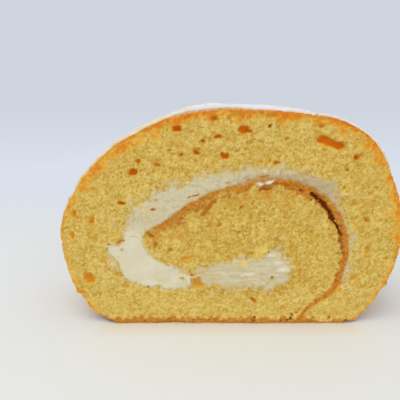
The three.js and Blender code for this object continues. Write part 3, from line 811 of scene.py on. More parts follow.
class Shading:
    """One material, its places in millimetres, and the colour painted so far."""

    def __init__(self, name, **sockets):
        self.material = bpy.data.materials.new(name)
        self.material.use_nodes = True
        self.tree = self.material.node_tree
        self.tree.nodes.clear()
        self.shader = self.add("ShaderNodeBsdfPrincipled", sockets)
        output = self.add("ShaderNodeOutputMaterial")
        self.tree.links.new(self.shader.outputs[0], output.inputs["Surface"])
        coords = self.add("ShaderNodeTexCoord")
        self.place = self.stretched(coords.outputs["Object"], (1 / MM,) * 3)
        self.colour = None

    def add(self, kind, sockets=None, **settings):
        node = self.tree.nodes.new(kind)
        for name, value in settings.items():
            setattr(node, name, value)
        for name, value in (sockets or {}).items():
            self.put(node.inputs[name], value)
        return node

    def put(self, socket, value):
        if isinstance(value, bpy.types.NodeSocket):
            self.tree.links.new(value, socket)
        else:
            socket.default_value = value

    def stretched(self, place, scale):
        node = self.add("ShaderNodeMapping", {"Vector": place, "Scale": scale})
        return node.outputs["Vector"]

    def mask(self, name):
        return self.add("ShaderNodeAttribute", attribute_name=name).outputs["Fac"]

    def noise(self, size, detail=2, roughness=0.5, stretch=(1, 1, 1)):
        place = self.stretched(self.place, stretch)
        sockets = {"Vector": place, "Scale": 1 / size, "Detail": detail, "Roughness": roughness}
        return self.add("ShaderNodeTexNoise", sockets).outputs["Fac"]

    def cells(self, size, stretch=(1, 1, 1)):
        place = self.stretched(self.place, stretch)
        return self.add("ShaderNodeTexVoronoi", {"Vector": place, "Scale": 1 / size}).outputs["Distance"]

    def ramp(self, factor, *stops):
        """A value or colour for each stop (place, colour); a number stands for that grey."""
        node = self.add("ShaderNodeValToRGB", {"Fac": factor})
        line = node.color_ramp.elements
        while len(line) < len(stops):
            line.new(0.5)
        for element, (place, colour) in zip(line, stops):
            element.position = place
            element.color = (colour,) * 3 + (1,) if isinstance(colour, (int, float)) else linear(colour)
        return node.outputs["Color"]

    def math(self, operation, first, second, clamp=False):
        node = self.add("ShaderNodeMath", operation=operation, use_clamp=clamp)
        self.put(node.inputs[0], first)
        self.put(node.inputs[1], second)
        return node.outputs[0]

    def plus(self, *terms):
        return functools.reduce(functools.partial(self.math, "ADD"), terms)

    def times(self, *factors):
        """The product of sockets, numbers and masks, which are given by name."""
        factors = [self.mask(factor) if isinstance(factor, str) else factor for factor in factors]
        return functools.reduce(functools.partial(self.math, "MULTIPLY"), factors)

    def uneven(self, name, noise, amount):
        """A mask whose edge is broken up by noise."""
        mask = self.mask(name)
        at_edge = self.times(mask, self.math("SUBTRACT", 1, mask))
        shift = self.times(self.plus(noise, -0.5), amount)
        return self.math("ADD", mask, self.times(at_edge, shift), clamp=True)

    def paint(self, colour, *cover):
        """Lays a colour over the one so far, as far as the product of the covers says."""
        self.colour = self.blend(self.times(*cover), self.colour, colour)

    def blend(self, factor, first, second):
        node = self.add("ShaderNodeMix", data_type="RGBA")
        self.put(node.inputs[0], factor)
        for socket, value in ((node.inputs[6], first), (node.inputs[7], second)):
            self.put(socket, value if isinstance(value, bpy.types.NodeSocket) else linear(value))
        return node.outputs[2]

    def bump(self, height, distance, strength):
        """Fine relief of that many millimetres."""
        sockets = {"Height": height, "Distance": distance * MM, "Strength": strength}
        self.put(self.shader.inputs["Normal"], self.add("ShaderNodeBump", sockets).outputs["Normal"])

    def finish(self, roughness):
        self.put(self.shader.inputs["Base Color"], self.colour)
        self.put(self.shader.inputs["Roughness"], roughness)
        return self.material


def soft(weight, reach, tint):
    """Sockets for light that enters the food and spreads about that many millimetres."""
    return {
        "Subsurface Weight": weight,
        "Subsurface Scale": reach * MM,
        "Subsurface Radius": tint,
        "Specular IOR Level": 0.12,
    }


def paint_crumb(s, look):
    """Open golden crumb, browned towards the skins."""
    granules, walls, threads = s.noise(0.7, 3, 0.7), s.noise(1.1, 1), s.noise(0.6, 1)
    rough = s.times("open", s.ramp(s.noise(2.4), (0.36, 0.15), (0.6, 1)))
    tone = s.plus(s.times(granules, 0.6), s.times("fleck", 0.5))
    s.colour = s.ramp(tone, (0.4, look.ochre), (MID_TONE, look.crumb), (0.71, look.pale))
    s.paint(look.ochre, s.ramp(s.noise(6), (0.4, 0), (0.7, 0.2)))
    # painted highlights on the cell walls, then painted shade and glints of the fine relief
    s.paint(look.pale, s.ramp(walls, (0.44, 0), (0.5, 0.35), (0.56, 0)))
    s.paint(look.speck, rough, s.ramp(threads, (0.28, 0.8), (0.42, 0)))
    s.paint(look.glint, rough, s.ramp(threads, (0.58, 0), (0.72, 0.8)))
    # painted shade and orange bounce in shallow bubbles and round holes, and browning by the inner skin
    s.paint(look.bubble, "ochre", 0.85)
    # painted shade in the small cells, and in darker dots between the grains
    s.paint(look.speck, "speck", 0.35)
    s.paint(look.speck, rough, s.ramp(s.cells(1.4, stretch=(0.65, 1, 1)), (0.07, 0.75), (0.22, 0)))

    # browned under the outer skin, most of all where the crumb is dark and clumped
    mottle, clumps = s.noise(1, 3, 0.6), s.noise(2)
    baked = s.uneven("baked", s.plus(s.times(mottle, 0.5), s.times(clumps, 0.5)), 2.8)
    browned = s.plus(baked, s.times(s.plus(tone, -MID_TONE), -1.2), s.times(s.plus(clumps, -0.5), 0.5))
    orange = s.ramp(browned, (0.3, look.baked_pale), (0.6, look.baked), (0.95, look.baked_deep))
    s.paint(orange, s.ramp(baked, (0.05, 0), (0.5, 0.92)))
    s.paint(look.pale, "pale", 0.75)
    s.paint(look.rim, "rim", s.ramp(mottle, (0.4, 0.1), (0.58, 0.9)))
    s.paint(look.dusted, "dusted")
    s.paint(s.ramp(s.noise(1), (0.35, look.base_dark), (0.65, look.base)), "base")

    # painted shade and orange bounce light in the air holes, darker and more orange the deeper they go
    hole = s.mask("hole")
    painted_hole_shade = s.ramp(hole, (0.2, look.pore), (0.5, look.pit), (0.85, look.hole))
    s.paint(painted_hole_shade, s.ramp(hole, (0.02, 0), (0.2, 0.95)))

    # the inner skin, brown with a painted gap shadow on one side and tan on the other
    brown = s.ramp(s.noise(0.7, 3, 0.65), (0.42, look.skin_dark), (0.6, look.skin))
    brown = s.blend(s.mask("lip"), brown, look.lip)
    tan = s.ramp(s.noise(0.9, 3, 0.65), (0.36, look.skin), (0.6, look.tan))
    s.paint(s.blend(s.uneven("tan", granules, 2), brown, tan), s.uneven("skin", granules, 3))


def paint_cream(s, look):
    """Whipped cream, dull and grainy in its thin layers."""
    fine, streaks = s.noise(0.65, 3, 0.7), s.noise(1, stretch=(0.2, 1, 1))
    s.colour = s.ramp(s.noise(4), (0.3, look.ivory), (0.7, look.cream))
    s.paint(look.grain, "grain", s.ramp(fine, (0.36, 0.9), (0.66, 0.3)))
    s.paint(look.grain, "streaks", s.ramp(streaks, (0.4, 0.6), (0.6, 0)))
    s.paint(look.shaded, "shade", s.ramp(fine, (0.38, 1), (0.62, 0.65)))
    s.paint(look.whitest, "white", 0.8)


def paint_cut(s, sponge, cream):
    """The whole cut: crumb and cream, and what lies on both."""
    fine = s.noise(0.6, 3, 0.6)
    paint_crumb(s, sponge)
    crumb = s.colour
    paint_cream(s, cream)
    s.colour = s.blend(s.uneven("cream", fine, 2.4), crumb, s.colour)
    wet = s.ramp(fine, (0.3, sponge.yolk_deep), (0.65, sponge.yolk))
    s.paint(wet, s.uneven("yolk", fine, 1.5), 0.85)
    # brown crumbs and scraps of skin, and some painted shadow lines above the inner skin
    brown = s.mask("brown")
    scrap = s.ramp(brown, (0.25, sponge.scrap), (0.6, sponge.skin_dark), (1, sponge.burnt))
    s.paint(scrap, s.ramp(brown, (0.05, 0), (0.4, 1)))
    # painted shade in the crevice, and the darkest specks
    s.paint(sponge.burnt, s.ramp(s.mask("burnt"), (0.1, 0), (0.75, 1)))


def crumb_material(sponge, cream):
    s = Shading("crumb", **soft(0.2, 1, (1, 0.5, 0.15)))
    paint_cut(s, sponge, cream)
    fine = s.noise(0.7, 3, 0.65)
    rough = s.ramp(s.noise(2.4), (0.36, 0.45), (0.6, 1))
    s.bump(s.times(s.plus(fine, s.times(s.cells(1), -0.3)), rough), 0.16, 0.9)
    return s.finish(s.ramp(fine, (0.3, 0.95), (0.7, 0.8)))


def cream_material(sponge, cream):
    s = Shading("whipped_cream", **soft(0.3, 2, (1, 0.8, 0.55)))
    paint_cut(s, sponge, cream)
    fine = s.noise(0.85, 3, 0.6)
    s.bump(s.times(fine, s.plus(s.mask("grain"), 0.12)), 0.16, 0.85)
    return s.finish(s.ramp(fine, (0.3, 0.75), (0.7, 0.6)))


def skin_material(look):
    """The browned outside of the roll."""
    s = Shading("browned_skin", **soft(0.1, 0.8, (1, 0.45, 0.15)))
    broad, grain = s.noise(9, 3), s.noise(0.8, 4, 0.6)
    wrinkles = s.noise(1.3, 3, 0.55, stretch=(1, 0.22, 1))
    tone = s.plus(s.times(broad, 0.5), s.times(grain, 0.25), s.times(wrinkles, 0.25), s.times("bake", 0.3))
    s.colour = s.ramp(tone, (0.36, look.outer_pale), (0.54, look.outer), (0.82, look.outer_dark))
    s.paint(look.outer_dark, s.ramp(s.cells(1.3), (0, 0.55), (0.2, 0)))
    s.bump(s.plus(grain, s.times(wrinkles, 1.4)), 0.14, 0.8)
    return s.finish(s.ramp(grain, (0.3, 0.62), (0.7, 0.8)))


def sugar_material(look):
    """Fine white sugar, creamier where it lies thin on the skin."""
    s = Shading("icing_sugar", **soft(0.2, 0.8, (1, 0.95, 0.9)))
    fine, thin = s.noise(0.35, 3, 0.7), s.mask("thin")
    s.colour = s.ramp(
        thin, (0.08, look.sugar), (0.35, look.sheer), (0.6, look.thin_sugar), (0.85, look.seeping)
    )
    s.paint(look.soaked, s.ramp(thin, (0.9, 0), (1, 0.8)))
    s.paint(look.sugar_shade, s.ramp(fine, (0.3, 0.35), (0.5, 0)))
    s.bump(fine, 0.08, 0.8)
    return s.finish(s.ramp(fine, (0.3, 1), (0.7, 0.85)))


def loose_material(look):
    """Bits of crumb and skin that cling to the cuts and the base."""
    s = Shading("loose_crumb", **soft(0.15, 0.8, (1, 0.55, 0.2)))
    fine = s.noise(0.4, 3)
    s.colour = s.ramp(s.noise(3.2, 1), (0.38, look.baked), (0.46, look.crumb), (0.62, look.pale))
    s.paint(look.ochre, s.ramp(fine, (0.4, 0.5), (0.6, 0)))
    s.bump(fine, 0.1, 0.8)
    return s.finish(s.ramp(fine, (0.3, 0.95), (0.7, 0.85)))


def floor_material(look):
    """A plain pale tabletop that fades into the pale room."""
    s = Shading("tabletop", **{"Specular IOR Level": 0})
    level = s.stretched(s.place, (1, 1, 0))
    distance = s.add("ShaderNodeVectorMath", {0: level}, operation="LENGTH").outputs["Value"]
    nearness = s.math("DIVIDE", NEAR, distance)  # 1 by the slice, and 0 as far as it goes
    glow = s.ramp(nearness, (0.35, 1), (0.95, 0))
    s.put(s.shader.inputs["Emission Color"], s.ramp(nearness, (0.05, look.room_high), (0.36, look.room_low)))
    s.put(s.shader.inputs["Emission Strength"], glow)
    sides = s.add("ShaderNodeSeparateXYZ", {0: s.place}).outputs
    beside, ahead = (s.plus(s.math("ABSOLUTE", sides[axis], 0), -half) for axis, half in FOOT.items())
    s.colour = s.blend(glow, look.floor, (0, 0, 0))
    # painted warm bounce light and contact shade round the slice's foot
    s.paint(look.floor_bounce_shade, s.ramp(s.times(s.math("MAXIMUM", beside, ahead), 0.1), *WARMTH))
    return s.finish(s.ramp(s.noise(60, 1), (0.3, 0.6), (0.7, 0.7)))


# ---- Settings --------------------------------------------------------------------------------


def colour(name, description, default):
    return FloatVectorProperty(
        name=name, description=description, default=default, subtype="COLOR_GAMMA", size=3, min=0, max=1
    )


def length(name, description, default):
    return FloatProperty(name=name, description=description, default=default, min=0, unit="LENGTH")


class SpongeSettings(bpy.types.PropertyGroup):
    """Sizes and colours of the sponge"""

    step: length("Cell size", "Size of the mesh's squares on the cuts", 0.36 * MM)
    crumb: colour("Crumb", "The crumb's main colour", (0.86, 0.735, 0.355))
    pale: colour("Pale crumb", "Cell walls that catch the light", (0.92, 0.81, 0.475))
    glint: colour("Glint", "The brightest grains", (0.95, 0.86, 0.53))
    ochre: colour("Ochre", "The crumb's darker grains", (0.80, 0.61, 0.21))
    # painted shade and orange bounce in the shallow bubbles and round the holes
    bubble: colour("Bubble", "Shallow broken bubbles", (0.83, 0.61, 0.20))
    # painted shade in the crumb's small cells and fine hollows
    speck: colour("Speck", "Small cells", (0.68, 0.43, 0.085))
    # pore, pit and hole: painted shade and orange bounce light in the air holes, from rim to bottom
    pore: colour("Pore", "The rims of air holes", (0.87, 0.64, 0.19))
    pit: colour("Pit", "Small air holes", (0.88, 0.52, 0.095))
    hole: colour("Hole", "The bottoms of air holes", (0.93, 0.53, 0.07))
    baked_pale: colour("Lightly baked", "Crumb just under the skin", (0.92, 0.715, 0.29))
    baked: colour("Baked", "Browned crumb under the skin", (0.90, 0.62, 0.17))
    baked_deep: colour("Deeply baked", "Its darkest patches", (0.88, 0.48, 0.085))
    rim: colour("Skin's edge", "The cut edge of the outer skin", (0.81, 0.45, 0.13))
    dusted: colour("Dusted edge", "The top edge of the cuts, under the sugar", (0.93, 0.80, 0.60))
    base: colour("Base", "The cut edge of the skin underneath", (0.84, 0.58, 0.21))
    base_dark: colour("Dark base", "Its darker patches", (0.73, 0.44, 0.12))
    skin: colour("Inner skin", "The browned skin seen in the cut", (0.86, 0.56, 0.17))
    skin_dark: colour("Dark inner skin", "Its darker patches", (0.73, 0.44, 0.10))
    # painted shadow in the thin gap along the inner skin
    lip: colour("Skin's lip", "The dark inner edge of that skin", (0.50, 0.25, 0.04))
    tan: colour("Tan inner skin", "Its paler outer edge", (0.89, 0.66, 0.29))
    scrap: colour("Scrap", "Loose bits of crumb in the cream", (0.79, 0.59, 0.25))
    # painted shade for the crevice, also the darkest specks and scraps
    burnt: colour("Crevice", "The shadowed crevice and the darkest specks", (0.50, 0.22, 0.03))
    yolk: colour("Wet crumb", "Bright yellow crumb by the cream", (0.945, 0.845, 0.46))
    yolk_deep: colour("Deep wet crumb", "Its darker grains", (0.92, 0.79, 0.38))
    outer: colour("Outer skin", "The browned outside", (0.82, 0.56, 0.25))
    outer_pale: colour("Pale outer skin", "Its paler patches", (0.90, 0.68, 0.36))
    outer_dark: colour("Dark outer skin", "Its darker patches", (0.62, 0.35, 0.12))


class CreamSettings(bpy.types.PropertyGroup):
    """Sizes and colours of the cream"""

    step: length("Cell size", "Size of the mesh's squares on the cuts", 0.28 * MM)
    overlap: length("Overlap", "How far the cream reaches under the sponge", 0.35 * MM)
    tuck: length("Tuck", "How far that rim lies below the cut", 0.08 * MM)
    cream: colour("Cream", "The cream's lightest tone", (0.905, 0.875, 0.77))
    ivory: colour("Ivory", "The cream's main colour", (0.89, 0.85, 0.71))
    grain: colour("Grain", "The dull grain of the thin layers", (0.82, 0.75, 0.56))
    shaded: colour("Shaded", "Cream close to the inner skin", (0.74, 0.63, 0.45))
    whitest: colour("Whitest", "The brightest ridges", (0.95, 0.92, 0.83))


class SugarSettings(bpy.types.PropertyGroup):
    """Sizes and colours of the sugar dusting"""

    thickness: length("Thickness", "The dusting's depth on top of the roll", 1.0 * MM)
    grains: IntProperty(name="Grains", description="Loose grains about the dusting", default=900, min=0)
    sugar: colour("Sugar", "The sugar's colour", (0.92, 0.905, 0.88))
    sheer: colour("Sheer sugar", "Sugar that starts to show the skin", (0.95, 0.88, 0.76))
    thin_sugar: colour("Thin sugar", "Sugar that shows the skin", (0.96, 0.83, 0.61))
    seeping: colour("Damp sugar", "Sugar soaking into the skin", (0.91, 0.71, 0.44))
    soaked: colour("Soaked sugar", "Sugar that has vanished into the skin", (0.86, 0.62, 0.31))
    sugar_shade: colour("Sugar shade", "Between the grains", (0.85, 0.83, 0.80))


class CrumbSettings(bpy.types.PropertyGroup):
    """How many crumbs cling to the slice"""

    on_cuts: IntProperty(name="On the cuts", description="Crumbs on each cut", default=170, min=0)
    at_base: IntProperty(name="At the base", description="Crumbs along each lower edge", default=150, min=0)


class StageSettings(bpy.types.PropertyGroup):
    """The tabletop, light and camera"""

    floor: colour("Tabletop", "The tabletop by the slice", (0.91, 0.91, 0.885))
    # painted bounce light and contact shade by the slice
    floor_bounce_shade: colour("Warm tabletop", "The tabletop against the slice", (0.86, 0.77, 0.60))
    room_low: colour("Low room", "The room just above the tabletop", (0.86, 0.885, 0.93))
    room_high: colour("High room", "The room higher up", (0.812, 0.833, 0.872))
    room_strength: FloatProperty(name="Room light", description="How bright the room is", default=1.0, min=0)
    key_power: FloatProperty(
        name="Key light", description="Power of the main light", default=2.0, min=0, unit="POWER"
    )
    fill_power: FloatProperty(
        name="Fill light", description="Power of the low light", default=0.56, min=0, unit="POWER"
    )
    camera_place: FloatVectorProperty(
        name="Camera place",
        description="Where the camera stands",
        default=(-9.33 * MM, -125.6 * MM, 70.24 * MM),
        unit="LENGTH",
        size=3,
    )
    camera_pitch: FloatProperty(
        name="Camera pitch", description="How far it looks down", default=math.radians(15.5), subtype="ANGLE"
    )
    lens: FloatProperty(name="Lens", description="Its focal length in millimetres", default=36.09)


# ---- The outer skin --------------------------------------------------------------------------
ROLL_RUN = arc_lengths(ROLL)
SKIN_RINGS = 22  # rings of vertices between the cuts
SKIN_PITS = 900
SKIN_PIT_WIDTHS = (0.5, 1.8)
SKIN_PIT_DEPTHS = (0.08, 0.25)
# Where a cut's outline is torn: x, z, how far that reaches, how far it stands proud
TORN = [
    (-47, 10.6, 1, 0.8), (-46, 8.6, 0.8, -0.4), (-44.2, 5.6, 1.6, 0.6), (-42, 3.2, 1.4, 0.7),
    (47.2, 13, 1.2, 0.5), (45.6, 10.2, 0.9, -0.5), (43.4, 6.8, 1, 0.3), (41.6, 4.4, 1, 0.5),
    (40.2, 3, 0.8, -0.3), (38.8, 1.9, 1.2, 0.5), (44.6, 47.4, 1.4, -0.4), (21.4, 63.4, 0.7, -0.35),
]


class OuterSkin:
    """The relief of the roll's outside: how far it stands proud at each place along and across it."""

    def __init__(self):
        rng = np.random.default_rng(SEED + 1)
        low = (0, FRONT - 1)
        across, up = np.meshgrid(np.arange(0, ROLL_RUN[-1] + 1, CELL), np.arange(low[1], BACK + 1, CELL))
        shape = across.shape
        broad = 0.16 * waves(rng, shape, 12)
        wrinkles = 0.05 * waves(rng, shape, 1.5, 6) + 0.03 * waves(rng, shape, 0.9)
        span = (low, (across[0, -1], BACK + 1))
        warp = 0.15 * waves(rng, shape, 1)
        pits = scatter(rng, SKIN_PITS, *span, SKIN_PIT_WIDTHS, SKIN_PIT_DEPTHS)
        pits = stamp(np.zeros(shape), across + warp, up + warp, low, pits, bowl)
        torn = 0.6 * waves(rng, shape, 1.1) + 0.5 * waves(rng, shape, 2.6)
        self.relief = Map(broad + wrinkles - softened(pits, 0.2), low)
        self.torn = Map(torn, low)

    def at(self, along, y, x, z):
        """How far the skin stands proud; only inwards where the slice rests on it."""
        depth = np.minimum(y - FRONT, BACK - y)
        torn = self.torn.at(along, y) * fade(0, 1.5, depth)
        proud = self.relief.at(along, y) + torn * (0.04 + 0.16 * fade(6, 14, z))
        for torn_x, torn_z, reach, out in TORN:
            near = np.exp(-((x - torn_x) ** 2 + (z - torn_z) ** 2) / reach**2)
            proud = proud + out * near * fade(0.5, 3.5, y - FRONT)
        resting = fade(0.2, 1.5, z)
        return proud * (1 - resting) - 0.4 * np.abs(proud) * resting


@functools.cache
def outer_skin():
    return OuterSkin()


def on_roll(along):
    """The places (x, z) that far along the roll's outline."""
    return [np.interp(along, ROLL_RUN, ROLL[:, i]) for i in (0, 1)]


def outline_normals(along, reach=0.6):
    """The roll's outward direction at places along its outline."""
    ahead, behind = (on_roll(np.mod(along + way * reach, ROLL_RUN[-1])) for way in (1, -1))
    dx, dz = (there - here for there, here in zip(ahead, behind))
    length = np.hypot(dx, dz)
    return dz / length, -dx / length


def above_skin(along, y, height):
    """Points that stand that high above the roll's uneven skin."""
    x, z = on_roll(along)
    nx, nz = outline_normals(along)
    proud = outer_skin().at(along, y, x, z) + height
    return x + proud * nx, z + proud * nz


# ---- Pieces ----------------------------------------------------------------------------------


def in_sponge(points):
    return inside(ROLL, points) & ~inside(CREAM, points)


def any_turn(rng):
    return Matrix.Rotation(rng.uniform(0, math.tau), 4, Vector(rng.normal(size=3)))


class CAKE_OT_sponge(bpy.types.Operator):
    """Make the rolled sponge, with its open crumb and browned skin"""

    bl_idname = "cake.sponge"
    bl_label = "Sponge"
    bl_options = {"REGISTER", "UNDO"}

    def execute(self, context):
        look = context.scene.cake_sponge
        bm = section_cells(look.step / MM, in_sponge, [ROLL, CREAM])
        thicken(bm)
        self.divide_skin(bm)
        points = coordinates(bm)
        edge, along, _, _ = nearest(ROLL, points[:, ::2])
        on_skin = edge < ON_LINE
        relief, masks = read_cuts(points)
        x, y, z = points.T
        proud = np.where(on_skin, outer_skin().at(along, y, x, z), 0)
        nx, nz = outline_normals(along)
        relief = relief * np.where(on_skin, 1 - 0.65 * smoothstep(0.2, 2, z), 1)
        final = np.column_stack([x + proud * nx, y + relief, np.maximum(z + proud * nz, 0)])
        # darker towards the bottom of the outer skin
        masks["bake"] = np.where(on_skin, fade(0, 6, z), 0)
        materials = [crumb_material(look, context.scene.cake_cream), skin_material(look)]
        finished(bm, "sponge_crumb", final, masks, materials, "sponge")
        return {"FINISHED"}

    def divide_skin(self, bm):
        """Cuts the outer skin into rings and gives it the skin's material."""
        long_edges = [e for e in bm.edges if abs(e.verts[0].co.y - e.verts[1].co.y) > 1]
        middles = np.array([(e.verts[0].co.x, e.verts[0].co.z) for e in long_edges])
        outer = [e for e, distance in zip(long_edges, nearest(ROLL, middles)[0]) if distance < ON_LINE]
        for face in {f for e in outer for f in e.link_faces}:
            face.material_index = 1
        bmesh.ops.subdivide_edges(bm, edges=outer, cuts=SKIN_RINGS, use_grid_fill=True)


UNDERCUT = 0.6  # how steeply the cream's hidden rim falls away


class CAKE_OT_cream(bpy.types.Operator):
    """Make the band of whipped cream"""

    bl_idname = "cake.cream"
    bl_label = "Cream"
    bl_options = {"REGISTER", "UNDO"}

    def execute(self, context):
        look = context.scene.cake_cream
        overlap = look.overlap / MM

        def keep(points):
            return inside(CREAM, points) | (nearest(CREAM, points)[0] < overlap / 2)

        bm = section_cells(look.step / MM, keep, [CREAM], overlap)
        thicken(bm)
        points = coordinates(bm)
        relief, masks = read_cuts(points)
        section = points[:, ::2]
        beyond = np.where(inside(CREAM, section), 0, nearest(CREAM, section)[0])
        tucked = look.tuck / MM * smoothstep(0, overlap, beyond) + UNDERCUT * beyond
        final = points.copy()
        final[:, 1] += relief - np.sign(points[:, 1]) * tucked
        materials = [cream_material(context.scene.cake_sponge, look)]
        finished(bm, "whipped_cream", final, masks, materials, "cream")
        return {"FINISHED"}


SUGAR_FROM = (46.6, 42.4)  # where the dusting ends on the right, and
SUGAR_TO = (-49.6, 31.2)  # on the left
SUGAR_STEP = 0.4
SUGAR_SUNK = 0.4  # how far the dusting's underside lies inside the skin
SUGAR_TUCK = 0.35  # how far its underside keeps clear of the cuts
GRAIN_SPREAD = 0.56  # how far its loose grains reach from its middle, as a share of its length
GRAIN_JITTER = 2.5  # how far each strays along the outline
QUARTER_TURN = 1.57  # the sine of an even spread of turns crowds the grains at both ends
# Along the dusting from its right end: its share of the full thickness, and how sheer it looks
SUGAR_COVER = (
    (0, 0.5), (0.09, 0.56), (0.34, 0.52), (0.43, 0.95), (0.57, 1.1), (0.65, 0.65), (0.82, 0.68), (1, 0.55),
)
SUGAR_SHEER = (
    (0, 0.6), (0.1, 0.3), (0.3, 0.15), (0.4, 0), (0.56, 0), (0.64, 0.35), (0.75, 0.5), (0.86, 0.6), (1, 0.8),
)


class CAKE_OT_sugar(bpy.types.Operator):
    """Make the sugar dusting on top of the roll, and its loose grains"""

    bl_idname = "cake.sugar"
    bl_label = "Sugar dusting"
    bl_options = {"REGISTER", "UNDO"}

    def execute(self, context):
        look = context.scene.cake_sugar
        rng = np.random.default_rng(SEED + 50)
        ends = nearest(ROLL, np.array([SUGAR_FROM, SUGAR_TO]))[1]
        length = ends[1] - ends[0]
        columns, rows = (round(size / SUGAR_STEP) for size in (length, BACK - FRONT))
        bm = bmesh.new()
        bmesh.ops.create_grid(bm, x_segments=columns, y_segments=rows, size=0.5)
        doubled(bm, (0, 0, -1))
        bmesh.ops.reverse_faces(bm, faces=bm.faces)  # the roll's outline runs from right to left
        u, v, level = coordinates(bm).T
        along = ends[0] + (u + 0.5) * length
        is_under = level < -0.5
        y = v * (BACK - FRONT - np.where(is_under, 2 * SUGAR_TUCK, 0))
        thick, thin = self.thickness(look.thickness / MM, rng, along, y, ends)
        x, z = above_skin(along, y, np.where(is_under, -SUGAR_SUNK, thick))
        ragged = Map(waves(rng, SECTION_X.shape, 1.4)).at(*on_roll(along))
        cut = fade(0, 0.3, np.minimum(y - FRONT, BACK - y))
        y = y + np.sign(y) * cut * (0.12 * ragged - 0.1)
        masks = {"thin": unit(thin + 0.2 * is_under)}
        points = np.column_stack([x, y, z])
        finished(bm, "sugar_dusting", points, masks, [sugar_material(look)], None)
        self.loose_grains(look, rng, ends)
        return {"FINISHED"}

    def thickness(self, most, rng, along, y, ends):
        """How thick the dusting is, below nothing where the skin is bare, and how thin it looks."""
        low = (0, FRONT - 1)
        shape = (round((BACK - FRONT + 2) / CELL), round(ends[1] / CELL) + 20)
        patches, lumps, fine = (Map(waves(rng, shape, width), low).at(along, y) for width in (5, 1.6, 0.7))
        share = (along - ends[0]) / (ends[1] - ends[0])
        inwards = smoothstep(0, 5, y - FRONT)
        share += np.sign(share - 0.5) * inwards * (0.015 + 0.012 * patches)
        cover = np.interp(share, *zip(*SUGAR_COVER))
        thick = most * cover * (1 + 0.12 * patches) + 0.06 * lumps + 0.04 * fine
        whole = smoothstep(0, 0.06, share) * smoothstep(1, 0.94, share)
        thick = np.where(whole < 1, thick * whole - 0.3 * (1 - whole), thick)
        sheer = np.interp(share, *zip(*SUGAR_SHEER)) + 0.06 * patches + 0.04 * lumps
        return thick, unit(np.maximum(fade(0.1, 0.4, thick), sheer))

    def loose_grains(self, look, rng, ends):
        """Grains of sugar over the dusting's top, most of them about its ends."""
        count = look.grains
        middle, spread = (ends[0] + ends[1]) / 2, (ends[1] - ends[0]) * GRAIN_SPREAD
        turns = rng.uniform(-QUARTER_TURN, QUARTER_TURN, count)
        along = middle + spread * np.sin(turns) + rng.normal(scale=GRAIN_JITTER, size=count)
        y = rng.uniform(FRONT + 0.5, BACK - 0.5, count)
        share = (along - ends[0]) / (ends[1] - ends[0])
        cover = smoothstep(0.02, 0.4, share) * smoothstep(1.0, 0.75, share)
        sizes = rng.uniform(0.1, 0.2, count)
        x, z = above_skin(along, y, 0.8 * cover + 0.3 * sizes)
        bm = bmesh.new()
        for *place, size in zip(x, y, z, sizes):
            matrix = Matrix.Translation(place) @ any_turn(rng)
            bmesh.ops.create_icosphere(bm, subdivisions=1, radius=size, matrix=matrix)
        points = coordinates(bm)
        points += rng.normal(scale=0.02, size=points.shape)
        masks = {"thin": np.full(len(points), 0.1)}
        finished(bm, "sugar_grains", points, masks, [sugar_material(look)], None)


SIZES_ON_CUTS = (0.12, 0.3)
SIZES_AT_BASE = (0.14, 0.34)
# Crumbs caught in the crevice: x, z, size
IN_CREVICE = (
    (30.0, 33.2, 0.42), (30.4, 32.6, 0.28), (31.4, 31.1, 0.4), (31.7, 30.6, 0.26), (24.4, 39.4, 0.24),
)


class CAKE_OT_crumbs(bpy.types.Operator):
    """Make the loose crumbs that cling to the cuts and the base"""

    bl_idname = "cake.crumbs"
    bl_label = "Crumbs"
    bl_options = {"REGISTER", "UNDO"}

    def execute(self, context):
        counts = context.scene.cake_crumbs
        rng = np.random.default_rng(SEED + 60)
        bm = bmesh.new()
        for way, cut in ((-1, FRONT), (1, BACK)):
            self.on_cut(bm, rng, counts.on_cuts, way, cut)
            self.at_base(bm, rng, counts.at_base, way, cut)
        for x, z, size in IN_CREVICE:
            self.lump(bm, rng, (x, FRONT + 0.3, z), size)
        points = coordinates(bm)
        points[:, 2] = np.maximum(points[:, 2], 0.02)
        material = loose_material(context.scene.cake_sponge)
        finished(bm, "clinging_crumbs", points, {}, [material], None)
        return {"FINISHED"}

    def lump(self, bm, rng, place, size):
        """One uneven crumb."""
        turn = any_turn(rng)
        squash = Matrix.Diagonal((1, rng.uniform(0.6, 0.9), rng.uniform(0.6, 1), 1))
        matrix = Matrix.Translation(place) @ turn @ squash
        made = bmesh.ops.create_icosphere(bm, subdivisions=1, radius=size, matrix=matrix)
        for vert in made["verts"]:
            vert.co += (vert.co - Vector(place)) * rng.uniform(-0.25, 0.25)

    def on_cut(self, bm, rng, count, way, cut):
        places = rng.uniform((-50, 0), (50, 65), (4 * count, 2))
        places = places[in_sponge(places)][:count]
        relief = (front_cut() if way < 0 else back_cut()).read(places)["relief"]
        for (x, z), depth in zip(places, relief):
            self.lump(bm, rng, (x, cut + way * depth, z), rng.uniform(*SIZES_ON_CUTS))

    def at_base(self, bm, rng, count, way, cut):
        for _ in range(count):
            size = rng.uniform(*SIZES_AT_BASE)
            place = (rng.uniform(-35, 36), cut + way * rng.uniform(0.2, 0.9), size * 0.7)
            self.lump(bm, rng, place, size)


# The lights: name, the setting that gives its power, and in metres where it stands and how wide it is
LIGHTS = (
    ("key_light", "key_power", (-0.16, -0.26, 0.65), 0.5),
    ("fill_light", "fill_power", (0.35, -0.5, 0.2), 0.6),
)
LIT_PLACE = Vector((0, 0, 0.03))  # where they point
TABLE_CELLS = 40  # squares along each side of the tabletop
TABLE_HALF = 6.0  # half of the tabletop's width, in metres
CLIP = (0.005, 30)  # the nearest and furthest that the camera sees, in metres


